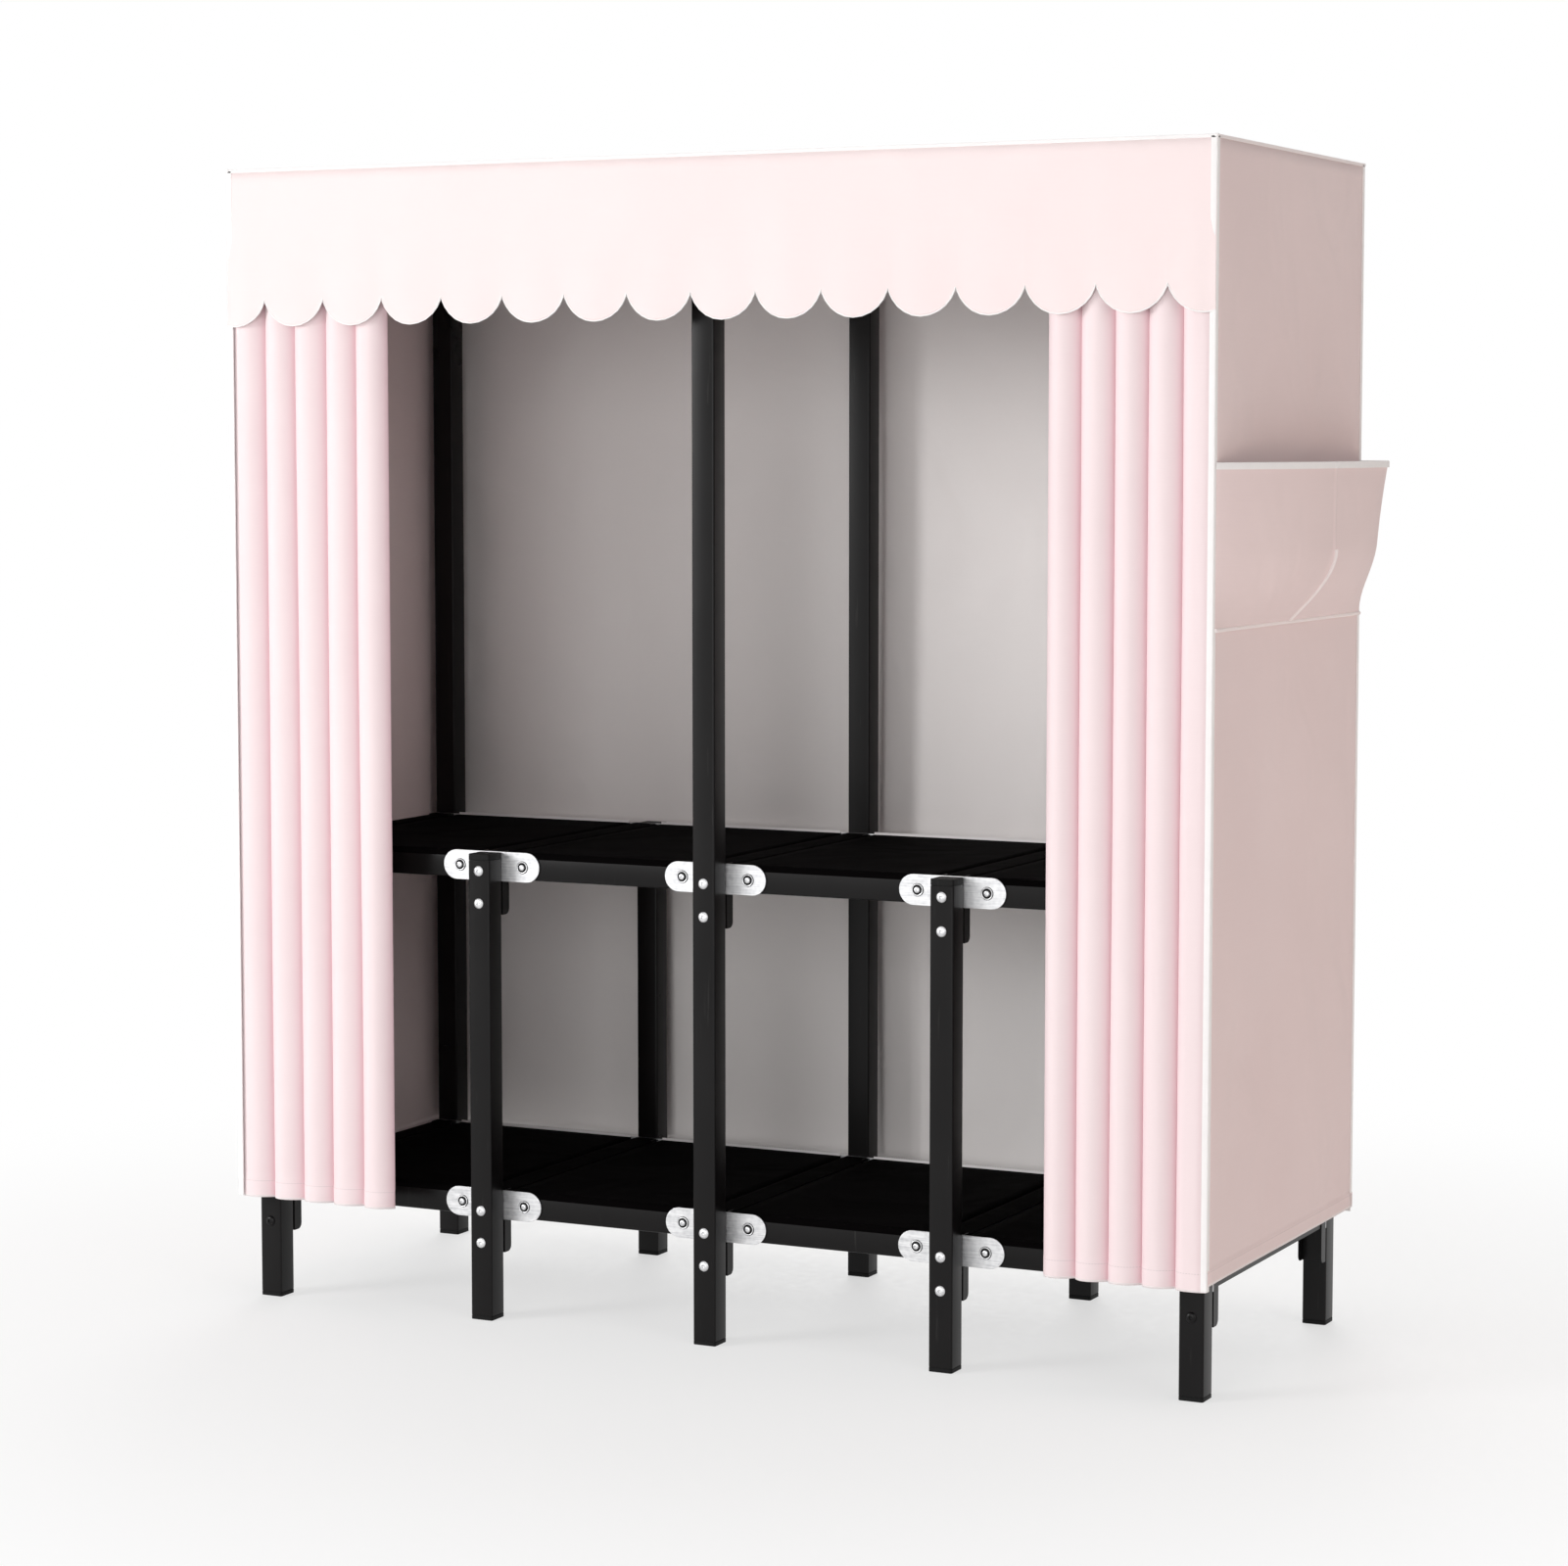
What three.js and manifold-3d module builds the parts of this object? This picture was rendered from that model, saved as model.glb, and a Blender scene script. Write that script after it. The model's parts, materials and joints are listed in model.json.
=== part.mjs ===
// A folding wardrobe: ten square posts in five ladder frames, pinned shelf and top frames between them,
// and a cloth cover with a scalloped valance, two front curtains and a side pocket.
// Millimetres, +Z up, the front faces -Y. Column 0 is at the left and column 4 at the right.
import * as THREE from "three";
import { mergeVertices } from "three/addons/utils/BufferGeometryUtils.js";
import Module from "manifold-3d";

const wasm = await Module();
wasm.setup();

// Driving dimensions of the whole wardrobe
const bayPitch = 372;
const bayCount = 4;
const frameDepth = 556;
const coverHeight = 1700;

// Clearances: face to face between pieces that touch, and the overlap of welded pieces
const seatGap = 0.3;
const weldDepth = 0.4;

// Square posts with a plug at the foot and a cap at the top
const postWidth = 36;
const postWall = 0.8;
const postCornerRadius = 3;
const footPlugHeight = 5;
const footHoleRadius = 5;
const postCapThickness = 3;

// Heights of the rivet lines, and the plates that hold the rivets
const lowRivetHeight = 168;
const midRivetHeight = 674;
const topRivetDrop = 60;
const rivetHeights = { low: lowRivetHeight, mid: midRivetHeight, top: coverHeight - topRivetDrop };
const shortPostRise = 21;
const rivetOffset = 53;
const plateLength = 163;
const plateHeight = 44;
const plateThickness = 2.5;
const rivetRadius = 4;
const rivetPlay = 1;
const rivetHeadRadius = 8;
const rivetHeadHeight = 3;

// Bolts through the posts
const boltHeadRadius = 7.5;
const boltCrownRadius = 5;
const boltHeadHeight = 3;
const boltBelowRivet = 4;
const boltSpacing = 48;

// Channel brackets behind the posts, and the rungs that join front to rear
const bracketHeight = 94;
const bracketDepth = 24;
const bracketWall = 1.5;
const knuckleBracketHeight = 40;
const rungWall = 1;

// Rails of the shelf frames and top frames
const railHeight = 38;
const railDepth = 20;
const railWall = 1;
const railReach = 24;
const endBarThickness = 3;
const endBarHeight = 30;
const shelfClothThickness = 2;

// Hanging rails held in the end bars of the top frames
const hangingRailRadius = 12.5;
const hangingRailWall = 1;
const hangingRailReach = 4;

// Cloth cover
const clothThickness = 1.5;
const coverFrontReach = 34;
const coverRearReach = 32;
const coverSideReach = 16;
const coverHemHeight = 160;
const valanceDrop = 192;
const scallopPitch = 101.6;
const scallopDepth = 39;

// Curtains, the wire that they slide on and the ring at each leading edge
const curtainWidths = { left: 264, right: 240 };
const curtainHemHeight = 158;
const curtainSideInset = 3;
const pleatCount = 5;
const pleatDepth = 18;
const wireRadius = 2;
const wireDrop = 45;
const wirePlay = 0.8;
const casingSize = 11;
const casingWall = 1.5;
const runnerRadius = 6;
const runnerWidth = 5;
const eyeWidth = 8;
const eyeHeight = 9;
const eyeReach = 26;

// Side pocket
const pocketRimDrop = 430;
const pocketHeight = 222;
const pocketBulge = 60;
const pocketSideInset = 4;

// Shapes written as shares of the sizes that they follow
const pleatRoundnessShare = 0.7;
const pocketFullBelowShare = 0.42;
const pocketRimShare = 0.86;
const pocketCrestShare = 0.62;
const pocketSquarenessShare = 0.55;

// Facet counts
const cornerSteps = 2;
const plateEndSteps = 4;
const rivetSides = 6;
const headSides = 8;
const roundSides = 12;
const scallopSteps = 6;
const pleatSteps = 6;
const pocketAlongSteps = 14;
const pocketUpSteps = 7;

// Places worked out from the sizes
const midColumn = bayCount / 2;
const plateFront = postWidth + seatGap;
const plateBack = plateFront + plateThickness;
const railFront = plateBack + seatGap;
const railBack = railFront + railDepth;
const tallPostHeight = coverHeight - clothThickness - seatGap;
const shortPostHeight = midRivetHeight + shortPostRise;
const coverHalfWidth = midColumn * bayPitch + postWidth / 2 + coverSideReach;
const coverFront = -coverFrontReach;
const coverBack = frameDepth + coverRearReach;
const panelTop = coverHeight - clothThickness - seatGap;
const panelFront = coverFront + clothThickness + seatGap;
const curtainFront = panelFront + seatGap;
const curtainBack = curtainFront + pleatDepth + clothThickness;
const wireDepth = (curtainFront + curtainBack) / 2;
const wireHeight = coverHeight - wireDrop;
const curtainTop = wireHeight - casingSize / 2;
const curtainEdge = coverHalfWidth - curtainSideInset;
const pocketFoot = coverHeight - pocketRimDrop - pocketHeight;
const pocketSeat = coverHalfWidth + seatGap;

// Materials
const finish = (color, roughness, metalness) =>
  new THREE.MeshStandardMaterial({ color, roughness, metalness, side: THREE.DoubleSide });
const blackSteel = finish(0x1c1b1c, 0.38, 0.4);
const zincSteel = finish(0xc9cacc, 0.3, 0.9);
const blackCloth = finish(0x0b0a0b, 0.9, 0);
const coverCloth = finish(0xe9d9d8, 0.85, 0);
const valanceCloth = finish(0xfff2f0, 0.85, 0);
const curtainCloth = finish(0xfae1e4, 0.8, 0);

// Turns an outline's two directions and its run into the part's own directions:
// a run along x has an outline in (y, z), a run along y one in (z, x), and a run along z one in (x, y)
const unitX = new THREE.Vector3(1, 0, 0);
const unitY = new THREE.Vector3(0, 1, 0);
const unitZ = new THREE.Vector3(0, 0, 1);
const turns = {
  x: new THREE.Matrix4().makeBasis(unitY, unitZ, unitX),
  y: new THREE.Matrix4().makeBasis(unitZ, unitX, unitY),
  z: new THREE.Matrix4(),
};

// Outlines
const rectangle = ([a0, a1], [b0, b1]) => [[a0, b0], [a1, b0], [a1, b1], [a0, b1]];
const centred = (size, middle = 0) => [middle - size / 2, middle + size / 2];

function arc([a, b], radius, from, to, steps) {
  return Array.from({ length: steps + 1 }, (_, k) => {
    const angle = from + ((to - from) * k) / steps;
    return [a + radius * Math.cos(angle), b + radius * Math.sin(angle)];
  });
}

function circle(middle, radius, sides) {
  return arc(middle, radius, 0, 2 * Math.PI, sides).slice(0, sides);
}

function roundedSquare(size, radius) {
  const reach = size / 2 - radius;
  return [[1, 1], [-1, 1], [-1, -1], [1, -1]].flatMap(([a, b], quarter) => {
    const start = (quarter * Math.PI) / 2;
    return arc([a * reach, b * reach], radius, start, start + Math.PI / 2, cornerSteps);
  });
}

// A prism that runs along one axis, with any holes right through it
function prism(axis, outline, [from, to], holes = []) {
  const shape = new THREE.Shape(outline.map((point) => new THREE.Vector2(...point)));
  shape.holes = holes.map((hole) => new THREE.Path(hole.map((point) => new THREE.Vector2(...point))));
  const geometry = new THREE.ExtrudeGeometry(shape, { depth: to - from, bevelEnabled: false });
  return geometry.translate(0, 0, from).applyMatrix4(turns[axis]);
}

const block = (xSpan, ySpan, zSpan) => prism("z", rectangle(xSpan, ySpan), zSpan);

// Joins and cuts of closed meshes
function toSolid(geometry) {
  const bare = geometry.index ? geometry.toNonIndexed() : geometry.clone();
  bare.deleteAttribute("normal");
  bare.deleteAttribute("uv");
  const merged = mergeVertices(bare);
  const mesh = new wasm.Mesh({
    numProp: 3,
    vertProperties: merged.attributes.position.array,
    triVerts: new Uint32Array(merged.index.array),
  });
  return new wasm.Manifold(mesh);
}

function toGeometry(solid) {
  const mesh = solid.getMesh();
  const geometry = new THREE.BufferGeometry();
  geometry.setAttribute("position", new THREE.BufferAttribute(mesh.vertProperties, 3));
  geometry.setIndex(new THREE.BufferAttribute(mesh.triVerts, 1));
  geometry.computeVertexNormals();
  return geometry;
}

const join = (...shapes) => toGeometry(shapes.map(toSolid).reduce((whole, next) => whole.add(next)));

// The same depth span measured from the front face of the frame or from its rear face
const depthSpan = ([near, far], rear) => (rear ? [frameDepth - far, frameDepth - near] : [near, far]);

// A low domed head on a face square to Y: it stands out towards the near side of its span
function domedHead(radius, crown, x, [near, far], z, rear) {
  const [low, high] = depthSpan([near, far], rear);
  const [highRadius, lowRadius] = rear ? [crown, radius] : [radius, crown];
  const head = new THREE.CylinderGeometry(highRadius, lowRadius, high - low, headSides);
  return head.translate(x, (low + high) / 2, z);
}

// Posts

const boltHeights = (levels) =>
  levels.flatMap((level) => {
    const upper = rivetHeights[level] - boltBelowRivet;
    return [upper, upper - boltSpacing];
  });

function postGeometry(height, levels, holdsWire) {
  const outline = roundedSquare(postWidth, postCornerRadius);
  const bore = roundedSquare(postWidth - 2 * postWall, postCornerRadius - postWall);
  const footHole = circle([0, 0], footHoleRadius, headSides);
  const pieces = [
    prism("z", outline, [0, footPlugHeight], [footHole]),
    prism("z", outline, [footPlugHeight - weldDepth, height - postCapThickness + weldDepth], [bore]),
    prism("z", outline, [height - postCapThickness, height]),
  ].map((piece) => piece.translate(0, postWidth / 2, 0));
  for (const z of boltHeights(levels))
    pieces.push(domedHead(boltHeadRadius, boltCrownRadius, 0, [-boltHeadHeight, weldDepth], z, false));
  if (holdsWire) pieces.push(wireEye());
  return join(...pieces);
}

// The eye that carries the curtain wire in front of a tall post
function wireEye() {
  const hole = circle([wireDepth, wireHeight], wireRadius + wirePlay, rivetSides);
  const outline = rectangle([-eyeReach, weldDepth], centred(eyeHeight, wireHeight));
  return prism("x", outline, centred(eyeWidth), [hole]);
}

// Cross members: a hinge plate and a channel bracket at each end of a rung

// A plate reaches out to a rivet on each side where a bay begins, and is cut square at the post elsewhere
function hingePlate(height, sides, rear) {
  const reach = plateLength / 2 - plateHeight / 2;
  const ends = [1, -1].flatMap((side) => {
    if (!sides.includes(side))
      return [1, -1].map((up) => [height + (side * up * plateHeight) / 2, (side * postWidth) / 2]);
    const turn = side > 0 ? 0 : Math.PI;
    return arc([height, side * reach], plateHeight / 2, turn, turn + Math.PI, plateEndSteps);
  });
  const holeRadius = rivetRadius + rivetPlay;
  const holes = sides.map((side) => circle([height, side * rivetOffset], holeRadius, rivetSides));
  return prism("y", ends, depthSpan([plateFront, plateBack], rear), holes);
}

function channelBracket(height, tall, rear) {
  const [outer, inner] = [postWidth / 2, postWidth / 2 - bracketWall];
  const near = plateBack - weldDepth;
  const outline = [
    [-outer, near],
    [outer, near],
    [outer, plateBack + bracketDepth],
    [inner, plateBack + bracketDepth],
    [inner, plateBack + bracketWall],
    [-inner, plateBack + bracketWall],
    [-inner, plateBack + bracketDepth],
    [-outer, plateBack + bracketDepth],
  ].map(([x, y]) => [x, rear ? frameDepth - y : y]);
  const top = height + plateHeight / 2;
  return prism("z", outline, [top - tall, top]);
}

// A channel open downwards, as high as the rails
function rung(height) {
  const half = postWidth / 2 - bracketWall + weldDepth;
  const [foot, top] = centred(railHeight, height);
  const outline = [
    [foot, -half],
    [top, -half],
    [top, half],
    [foot, half],
    [foot, half - rungWall],
    [top - rungWall, half - rungWall],
    [top - rungWall, -half + rungWall],
    [foot, -half + rungWall],
  ];
  const end = plateBack + bracketWall - weldDepth;
  return prism("y", outline, [end, frameDepth - end]);
}

function crossMemberGeometry(height, bracket, sides) {
  const ends = [false, true].flatMap((rear) => [
    hingePlate(height, sides, rear),
    channelBracket(height, bracket, rear),
  ]);
  return join(rung(height), ...ends);
}

// Shelf frames and top frames: two rails, two end bars and a rivet at each end of each rail

const pinPlaces = [rivetOffset, bayPitch - rivetOffset];
const railSpan = [pinPlaces[0] - railReach, pinPlaces[1] + railReach];

function rail(height, rear) {
  const [near, far] = depthSpan([railFront, railBack], rear);
  const [foot, top] = centred(railHeight, height);
  const bore = rectangle([near + railWall, far - railWall], [foot + railWall, top - railWall]);
  return prism("x", rectangle([near, far], [foot, top]), railSpan, [bore]);
}

function rivet(x, height, rear) {
  const headBack = plateFront - seatGap;
  const [near, far] = depthSpan([headBack - weldDepth, railFront + weldDepth], rear);
  const shank = prism("y", circle([height, x], rivetRadius, rivetSides), [near, far]);
  const headSpan = [headBack - rivetHeadHeight, headBack];
  const head = domedHead(rivetHeadRadius, rivetRadius, x, headSpan, height, rear);
  return join(shank, head);
}

function endBar(x, height, holes) {
  const ends = [railBack - weldDepth, frameDepth - railBack + weldDepth];
  return prism("x", rectangle(ends, centred(endBarHeight, height)), x, holes);
}

function frameGeometry(height, endBarHoles = []) {
  const bars = [
    [railSpan[0], railSpan[0] + endBarThickness],
    [railSpan[1] - endBarThickness, railSpan[1]],
  ].map((x) => endBar(x, height, endBarHoles));
  const sides = [false, true].flatMap((rear) => [
    rail(height, rear),
    ...pinPlaces.map((x) => rivet(x, height, rear)),
  ]);
  return join(...sides, ...bars);
}

function shelfClothGeometry(height) {
  const foot = height + railHeight / 2 + seatGap;
  return block(railSpan, [railFront, frameDepth - railFront], [foot, foot + shelfClothThickness]);
}

const hangingRailMiddle = [frameDepth / 2, rivetHeights.top];

function topFrameGeometry() {
  const seat = circle(hangingRailMiddle, hangingRailRadius + seatGap, roundSides);
  return frameGeometry(rivetHeights.top, [seat]);
}

function hangingRailGeometry() {
  const span = [railSpan[0] - hangingRailReach, railSpan[1] + hangingRailReach];
  const bore = circle(hangingRailMiddle, hangingRailRadius - hangingRailWall, roundSides);
  return prism("x", circle(hangingRailMiddle, hangingRailRadius, roundSides), span, [bore]);
}

// Cover

function roofGeometry() {
  const across = [-coverHalfWidth, coverHalfWidth];
  return block(across, [coverFront, coverBack], [coverHeight - clothThickness, coverHeight]);
}

function backPanelGeometry() {
  const half = coverHalfWidth - clothThickness - seatGap;
  return block([-half, half], [coverBack - clothThickness, coverBack], [coverHemHeight, panelTop]);
}

function sidePanelGeometry(side) {
  const faces = [side * coverHalfWidth, side * (coverHalfWidth - clothThickness)];
  const across = faces.toSorted((a, b) => a - b);
  return block(across, [panelFront, coverBack], [coverHemHeight, panelTop]);
}

// The valance's lower edge is a row of round scallops; the last one at each end is cut short by the side
function valanceGeometry() {
  const cuspHeight = coverHeight - valanceDrop;
  const half = scallopPitch / 2;
  const radius = (half * half + scallopDepth * scallopDepth) / (2 * scallopDepth);
  const sweep = Math.asin(half / radius);
  const centreHeight = cuspHeight - scallopDepth + radius;
  const perSide = Math.ceil(coverHalfWidth / scallopPitch);
  const edge = [];
  for (let k = -perSide; k < perSide; k++) {
    const x = (k + 1 / 2) * scallopPitch;
    const within = (limit) => Math.asin(THREE.MathUtils.clamp(limit / radius, -1, 1));
    const from = Math.max(-sweep, within(-coverHalfWidth - x));
    const to = Math.min(sweep, within(coverHalfWidth - x));
    for (let step = k === -perSide ? 0 : 1; step <= scallopSteps; step++) {
      const angle = from + ((to - from) * step) / scallopSteps;
      edge.push([centreHeight - radius * Math.cos(angle), x + radius * Math.sin(angle)]);
    }
  }
  const outline = [[panelTop, -coverHalfWidth], ...edge, [panelTop, coverHalfWidth]];
  return prism("y", outline, [coverFront, coverFront + clothThickness]);
}

// A curtain gathered into upright round pleats. The casing along its top holds the wire,
// and stops short of the eye at the end of the wire.
function curtainGeometry(width, side) {
  const pitch = width / pleatCount;
  const line = Array.from({ length: pleatCount * pleatSteps + 1 }, (_, k) => {
    const crest = Math.abs(Math.sin((Math.PI * k) / pleatSteps)) ** pleatRoundnessShare;
    return new THREE.Vector2((k / pleatSteps) * pitch, curtainFront + pleatDepth * (1 - crest));
  });
  const front = line.map((point) => [point.x, point.y]);
  const back = line.map((point, k) => {
    const along = line[Math.min(k + 1, line.length - 1)].clone().sub(line[Math.max(k - 1, 0)]);
    const inward = new THREE.Vector2(-along.y, along.x).setLength(clothThickness);
    return [point.x + inward.x, point.y + inward.y];
  });
  const folds = prism("z", [...front, ...back.toReversed()], [curtainHemHeight, curtainTop + weldDepth]);
  const bore = casingSize - 2 * casingWall;
  const outer = rectangle(centred(casingSize, wireDepth), centred(casingSize, wireHeight));
  const inner = rectangle(centred(bore, wireDepth), centred(bore, wireHeight));
  const stop = curtainEdge - midColumn * bayPitch + eyeWidth / 2 + seatGap;
  const span = side < 0 ? [stop, width] : [0, width - stop];
  return join(folds, prism("x", outer, span, [inner]));
}

function runnerGeometry() {
  const middle = [wireDepth, wireHeight];
  const bore = circle(middle, wireRadius + wirePlay, headSides);
  return prism("x", circle(middle, runnerRadius, headSides), [0, runnerWidth], [bore]);
}

function wireGeometry() {
  const half = midColumn * bayPitch + eyeWidth;
  return prism("x", circle([wireDepth, wireHeight], wireRadius, rivetSides), [-half, half]);
}

// A pouch sewn to the right side panel along its foot and its two upright edges, and open at its rim
function pocketGeometry() {
  const [along, up] = [pocketAlongSteps, pocketUpSteps];
  const across = [panelFront + pocketSideInset, coverBack - pocketSideInset];
  const bulgeAt = (u, v) => {
    const side = Math.sin(Math.PI * u ** (Math.log(1 / 2) / Math.log(pocketCrestShare)));
    const rise = Math.sin((Math.min(1, v / pocketFullBelowShare) * Math.PI) / 2);
    const rim = pocketRimShare + (1 - pocketRimShare) * v;
    return pocketBulge * Math.max(0, side) ** pocketSquarenessShare * rise * rim;
  };
  const points = [];
  for (const layer of [0, clothThickness])
    for (let j = 0; j <= up; j++)
      for (let i = 0; i <= along; i++) {
        const [u, v] = [i / along, j / up];
        const y = THREE.MathUtils.lerp(...across, u);
        points.push(pocketSeat + bulgeAt(u, v) + layer, y, pocketFoot + v * pocketHeight);
      }
  const at = (layer, i, j) => (layer * (up + 1) + j) * (along + 1) + i;
  const index = [];
  const quad = (a, b, c, d) => index.push(a, b, c, a, c, d);
  for (let j = 0; j < up; j++)
    for (let i = 0; i < along; i++) {
      quad(at(1, i, j), at(1, i + 1, j), at(1, i + 1, j + 1), at(1, i, j + 1));
      quad(at(0, i, j), at(0, i, j + 1), at(0, i + 1, j + 1), at(0, i + 1, j));
    }
  for (let i = 0; i < along; i++) {
    quad(at(0, i, 0), at(0, i + 1, 0), at(1, i + 1, 0), at(1, i, 0));
    quad(at(1, i, up), at(1, i + 1, up), at(0, i + 1, up), at(0, i, up));
  }
  for (let j = 0; j < up; j++) {
    quad(at(0, 0, j), at(1, 0, j), at(1, 0, j + 1), at(0, 0, j + 1));
    quad(at(1, along, j), at(0, along, j), at(0, along, j + 1), at(1, along, j + 1));
  }
  const geometry = new THREE.BufferGeometry();
  geometry.setAttribute("position", new THREE.Float32BufferAttribute(points, 3));
  geometry.setIndex(index);
  geometry.computeVertexNormals();
  return geometry;
}

// The wardrobe, with its origin on the floor under the middle of the whole object
const pocketReach = pocketSeat + pocketBulge + clothThickness;
const wardrobe = new THREE.Group();
wardrobe.name = "fabric_wardrobe";
wardrobe.position.set((coverHalfWidth - pocketReach) / 2, -(coverFront + coverBack) / 2, 0);

function place(name, geometry, material, group = wardrobe) {
  const mesh = new THREE.Mesh(geometry, material);
  mesh.name = name;
  group.add(mesh);
  return mesh;
}

const isTall = (column) => column % 2 === 0;
const frontTallPost = postGeometry(tallPostHeight, ["low", "mid", "top"], true);
const rearTallPost = postGeometry(tallPostHeight, ["low", "mid", "top"], false);
const shortPost = postGeometry(shortPostHeight, ["low", "mid"], false);
const sidesOf = (column) => [-1, 1].filter((side) => column + side >= 0 && column + side <= bayCount);

for (let column = 0; column <= bayCount; column++) {
  const group = new THREE.Group();
  group.position.x = (column - midColumn) * bayPitch;
  wardrobe.add(group);
  const [front, rear] = isTall(column) ? [frontTallPost, rearTallPost] : [shortPost, shortPost];
  place(`front_post_${column}`, front, blackSteel, group);
  const rearPost = place(`rear_post_${column}`, rear, blackSteel, group);
  rearPost.rotation.z = Math.PI;
  rearPost.position.y = frameDepth;
  const member = (level, bracket) => crossMemberGeometry(rivetHeights[level], bracket, sidesOf(column));
  place(`low_cross_member_${column}`, member("low", bracketHeight), zincSteel, group);
  place(`mid_cross_member_${column}`, member("mid", bracketHeight), zincSteel, group);
  if (isTall(column)) place(`top_cross_member_${column}`, member("top", bracketHeight), zincSteel, group);
  else place(`top_knuckle_${column}`, member("top", knuckleBracketHeight), zincSteel, group);
}

const lowFrame = frameGeometry(rivetHeights.low);
const midFrame = frameGeometry(rivetHeights.mid);
const topFrame = topFrameGeometry();
for (let bay = 0; bay < bayCount; bay++) {
  const group = new THREE.Group();
  group.position.x = (bay - midColumn) * bayPitch;
  wardrobe.add(group);
  place(`low_shelf_frame_${bay}`, lowFrame, blackSteel, group);
  place(`low_shelf_cloth_${bay}`, shelfClothGeometry(rivetHeights.low), blackCloth, group);
  place(`mid_shelf_frame_${bay}`, midFrame, blackSteel, group);
  place(`mid_shelf_cloth_${bay}`, shelfClothGeometry(rivetHeights.mid), blackCloth, group);
  place(`top_frame_${bay}`, topFrame, blackSteel, group);
  place(`hanging_rail_${bay}`, hangingRailGeometry(), zincSteel, group);
}

place("roof_panel", roofGeometry(), coverCloth);
place("back_panel", backPanelGeometry(), coverCloth);
place("left_side_panel", sidePanelGeometry(-1), coverCloth);
place("right_side_panel", sidePanelGeometry(1), coverCloth);
place("front_valance", valanceGeometry(), valanceCloth);
place("side_pocket", pocketGeometry(), coverCloth);

place("left_curtain", curtainGeometry(curtainWidths.left, -1), curtainCloth).position.x = -curtainEdge;
place("right_curtain", curtainGeometry(curtainWidths.right, 1), curtainCloth).position.x =
  curtainEdge - curtainWidths.right;
place("left_curtain_runner", runnerGeometry(), zincSteel).position.x =
  curtainWidths.left - curtainEdge + seatGap;
place("right_curtain_runner", runnerGeometry(), zincSteel).position.x =
  curtainEdge - curtainWidths.right - seatGap - runnerWidth;
place("curtain_wire", wireGeometry(), zincSteel);

export default wardrobe;
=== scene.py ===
# %% [markdown]
# # A folding wardrobe with a cloth cover
# The wardrobe is a black steel frame that folds like a concertina, dressed in pale cloth.
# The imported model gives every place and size. This script builds the finish around it:
# rounded steel, zinc plates and bolts, stretched shelf cloths, and the cover, curtains and pocket.
# Lengths are in metres, +Z is up and the open front faces -Y.

# %% Load the frame
import json
import math

import bmesh
import bpy
import numpy as np
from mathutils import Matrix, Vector, noise


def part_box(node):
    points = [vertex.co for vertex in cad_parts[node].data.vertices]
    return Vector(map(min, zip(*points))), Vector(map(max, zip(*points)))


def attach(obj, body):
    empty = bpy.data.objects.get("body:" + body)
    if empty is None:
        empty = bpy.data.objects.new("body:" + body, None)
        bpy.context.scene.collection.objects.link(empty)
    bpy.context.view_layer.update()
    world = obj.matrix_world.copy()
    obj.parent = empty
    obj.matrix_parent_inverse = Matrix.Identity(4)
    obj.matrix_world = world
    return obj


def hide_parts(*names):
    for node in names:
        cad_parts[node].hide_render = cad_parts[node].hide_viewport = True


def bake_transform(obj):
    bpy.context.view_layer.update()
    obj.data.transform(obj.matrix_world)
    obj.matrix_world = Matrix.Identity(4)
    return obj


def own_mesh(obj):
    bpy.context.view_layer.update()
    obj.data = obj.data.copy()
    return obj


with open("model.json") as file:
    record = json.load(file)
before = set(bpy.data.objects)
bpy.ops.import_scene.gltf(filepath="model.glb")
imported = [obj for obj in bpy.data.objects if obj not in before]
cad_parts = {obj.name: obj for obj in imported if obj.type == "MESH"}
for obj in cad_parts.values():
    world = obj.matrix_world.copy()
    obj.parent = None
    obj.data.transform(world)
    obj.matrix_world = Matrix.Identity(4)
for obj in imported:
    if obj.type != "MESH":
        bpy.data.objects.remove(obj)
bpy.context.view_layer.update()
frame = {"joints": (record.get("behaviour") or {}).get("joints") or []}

# %% [markdown]
# ## Camera
# The camera stands to the right of the wardrobe and a little below its top, as in the photograph.
# Its place comes from fitting a camera to the feet, rivets, bolts and corners of the cover.
# A long lens keeps the uprights nearly parallel.

# %% Camera
PHOTO_WIDTH = 1601
FOCAL_PIXELS = 3975.9
SENSOR_WIDTH = 36.0
CAMERA_PLACE = (2.5193, -5.1781, 1.2986)
CAMERA_TILT = 84.991
CAMERA_TURN = 26.294


def new_object(name, data):
    """Puts a camera, a lamp or a mesh into the scene."""
    made = bpy.data.objects.new(name, data)
    bpy.context.scene.collection.objects.link(made)
    return made


camera = new_object("camera", bpy.data.cameras.new("camera"))
camera.data.sensor_width = SENSOR_WIDTH
camera.data.lens = FOCAL_PIXELS / PHOTO_WIDTH * SENSOR_WIDTH
camera.location = CAMERA_PLACE
camera.rotation_euler = (math.radians(CAMERA_TILT), 0, math.radians(CAMERA_TURN))
bpy.context.scene.camera = camera
print("lens", round(camera.data.lens, 2), "mm")

# %% [markdown]
# ## Light, floor and background
# A soft studio needs one large lamp for shape and weaker ones to open the shadows. The big lamp stands
# at the front left, because the front of the wardrobe is bright and its right side is in half shade.
# The others soften the front, the right side, the back and the roof.
# The background is white only for the camera and for reflections, so it adds no light of its own.

# %% Shader helpers
WHITE = (1, 1, 1, 1)


def plug(tree, inputs, sockets):
    """Links or sets each input, given by name or by number."""
    for key, value in sockets.items():
        if isinstance(value, bpy.types.NodeSocket):
            tree.links.new(value, inputs[key])
        else:
            inputs[key].default_value = value


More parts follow.
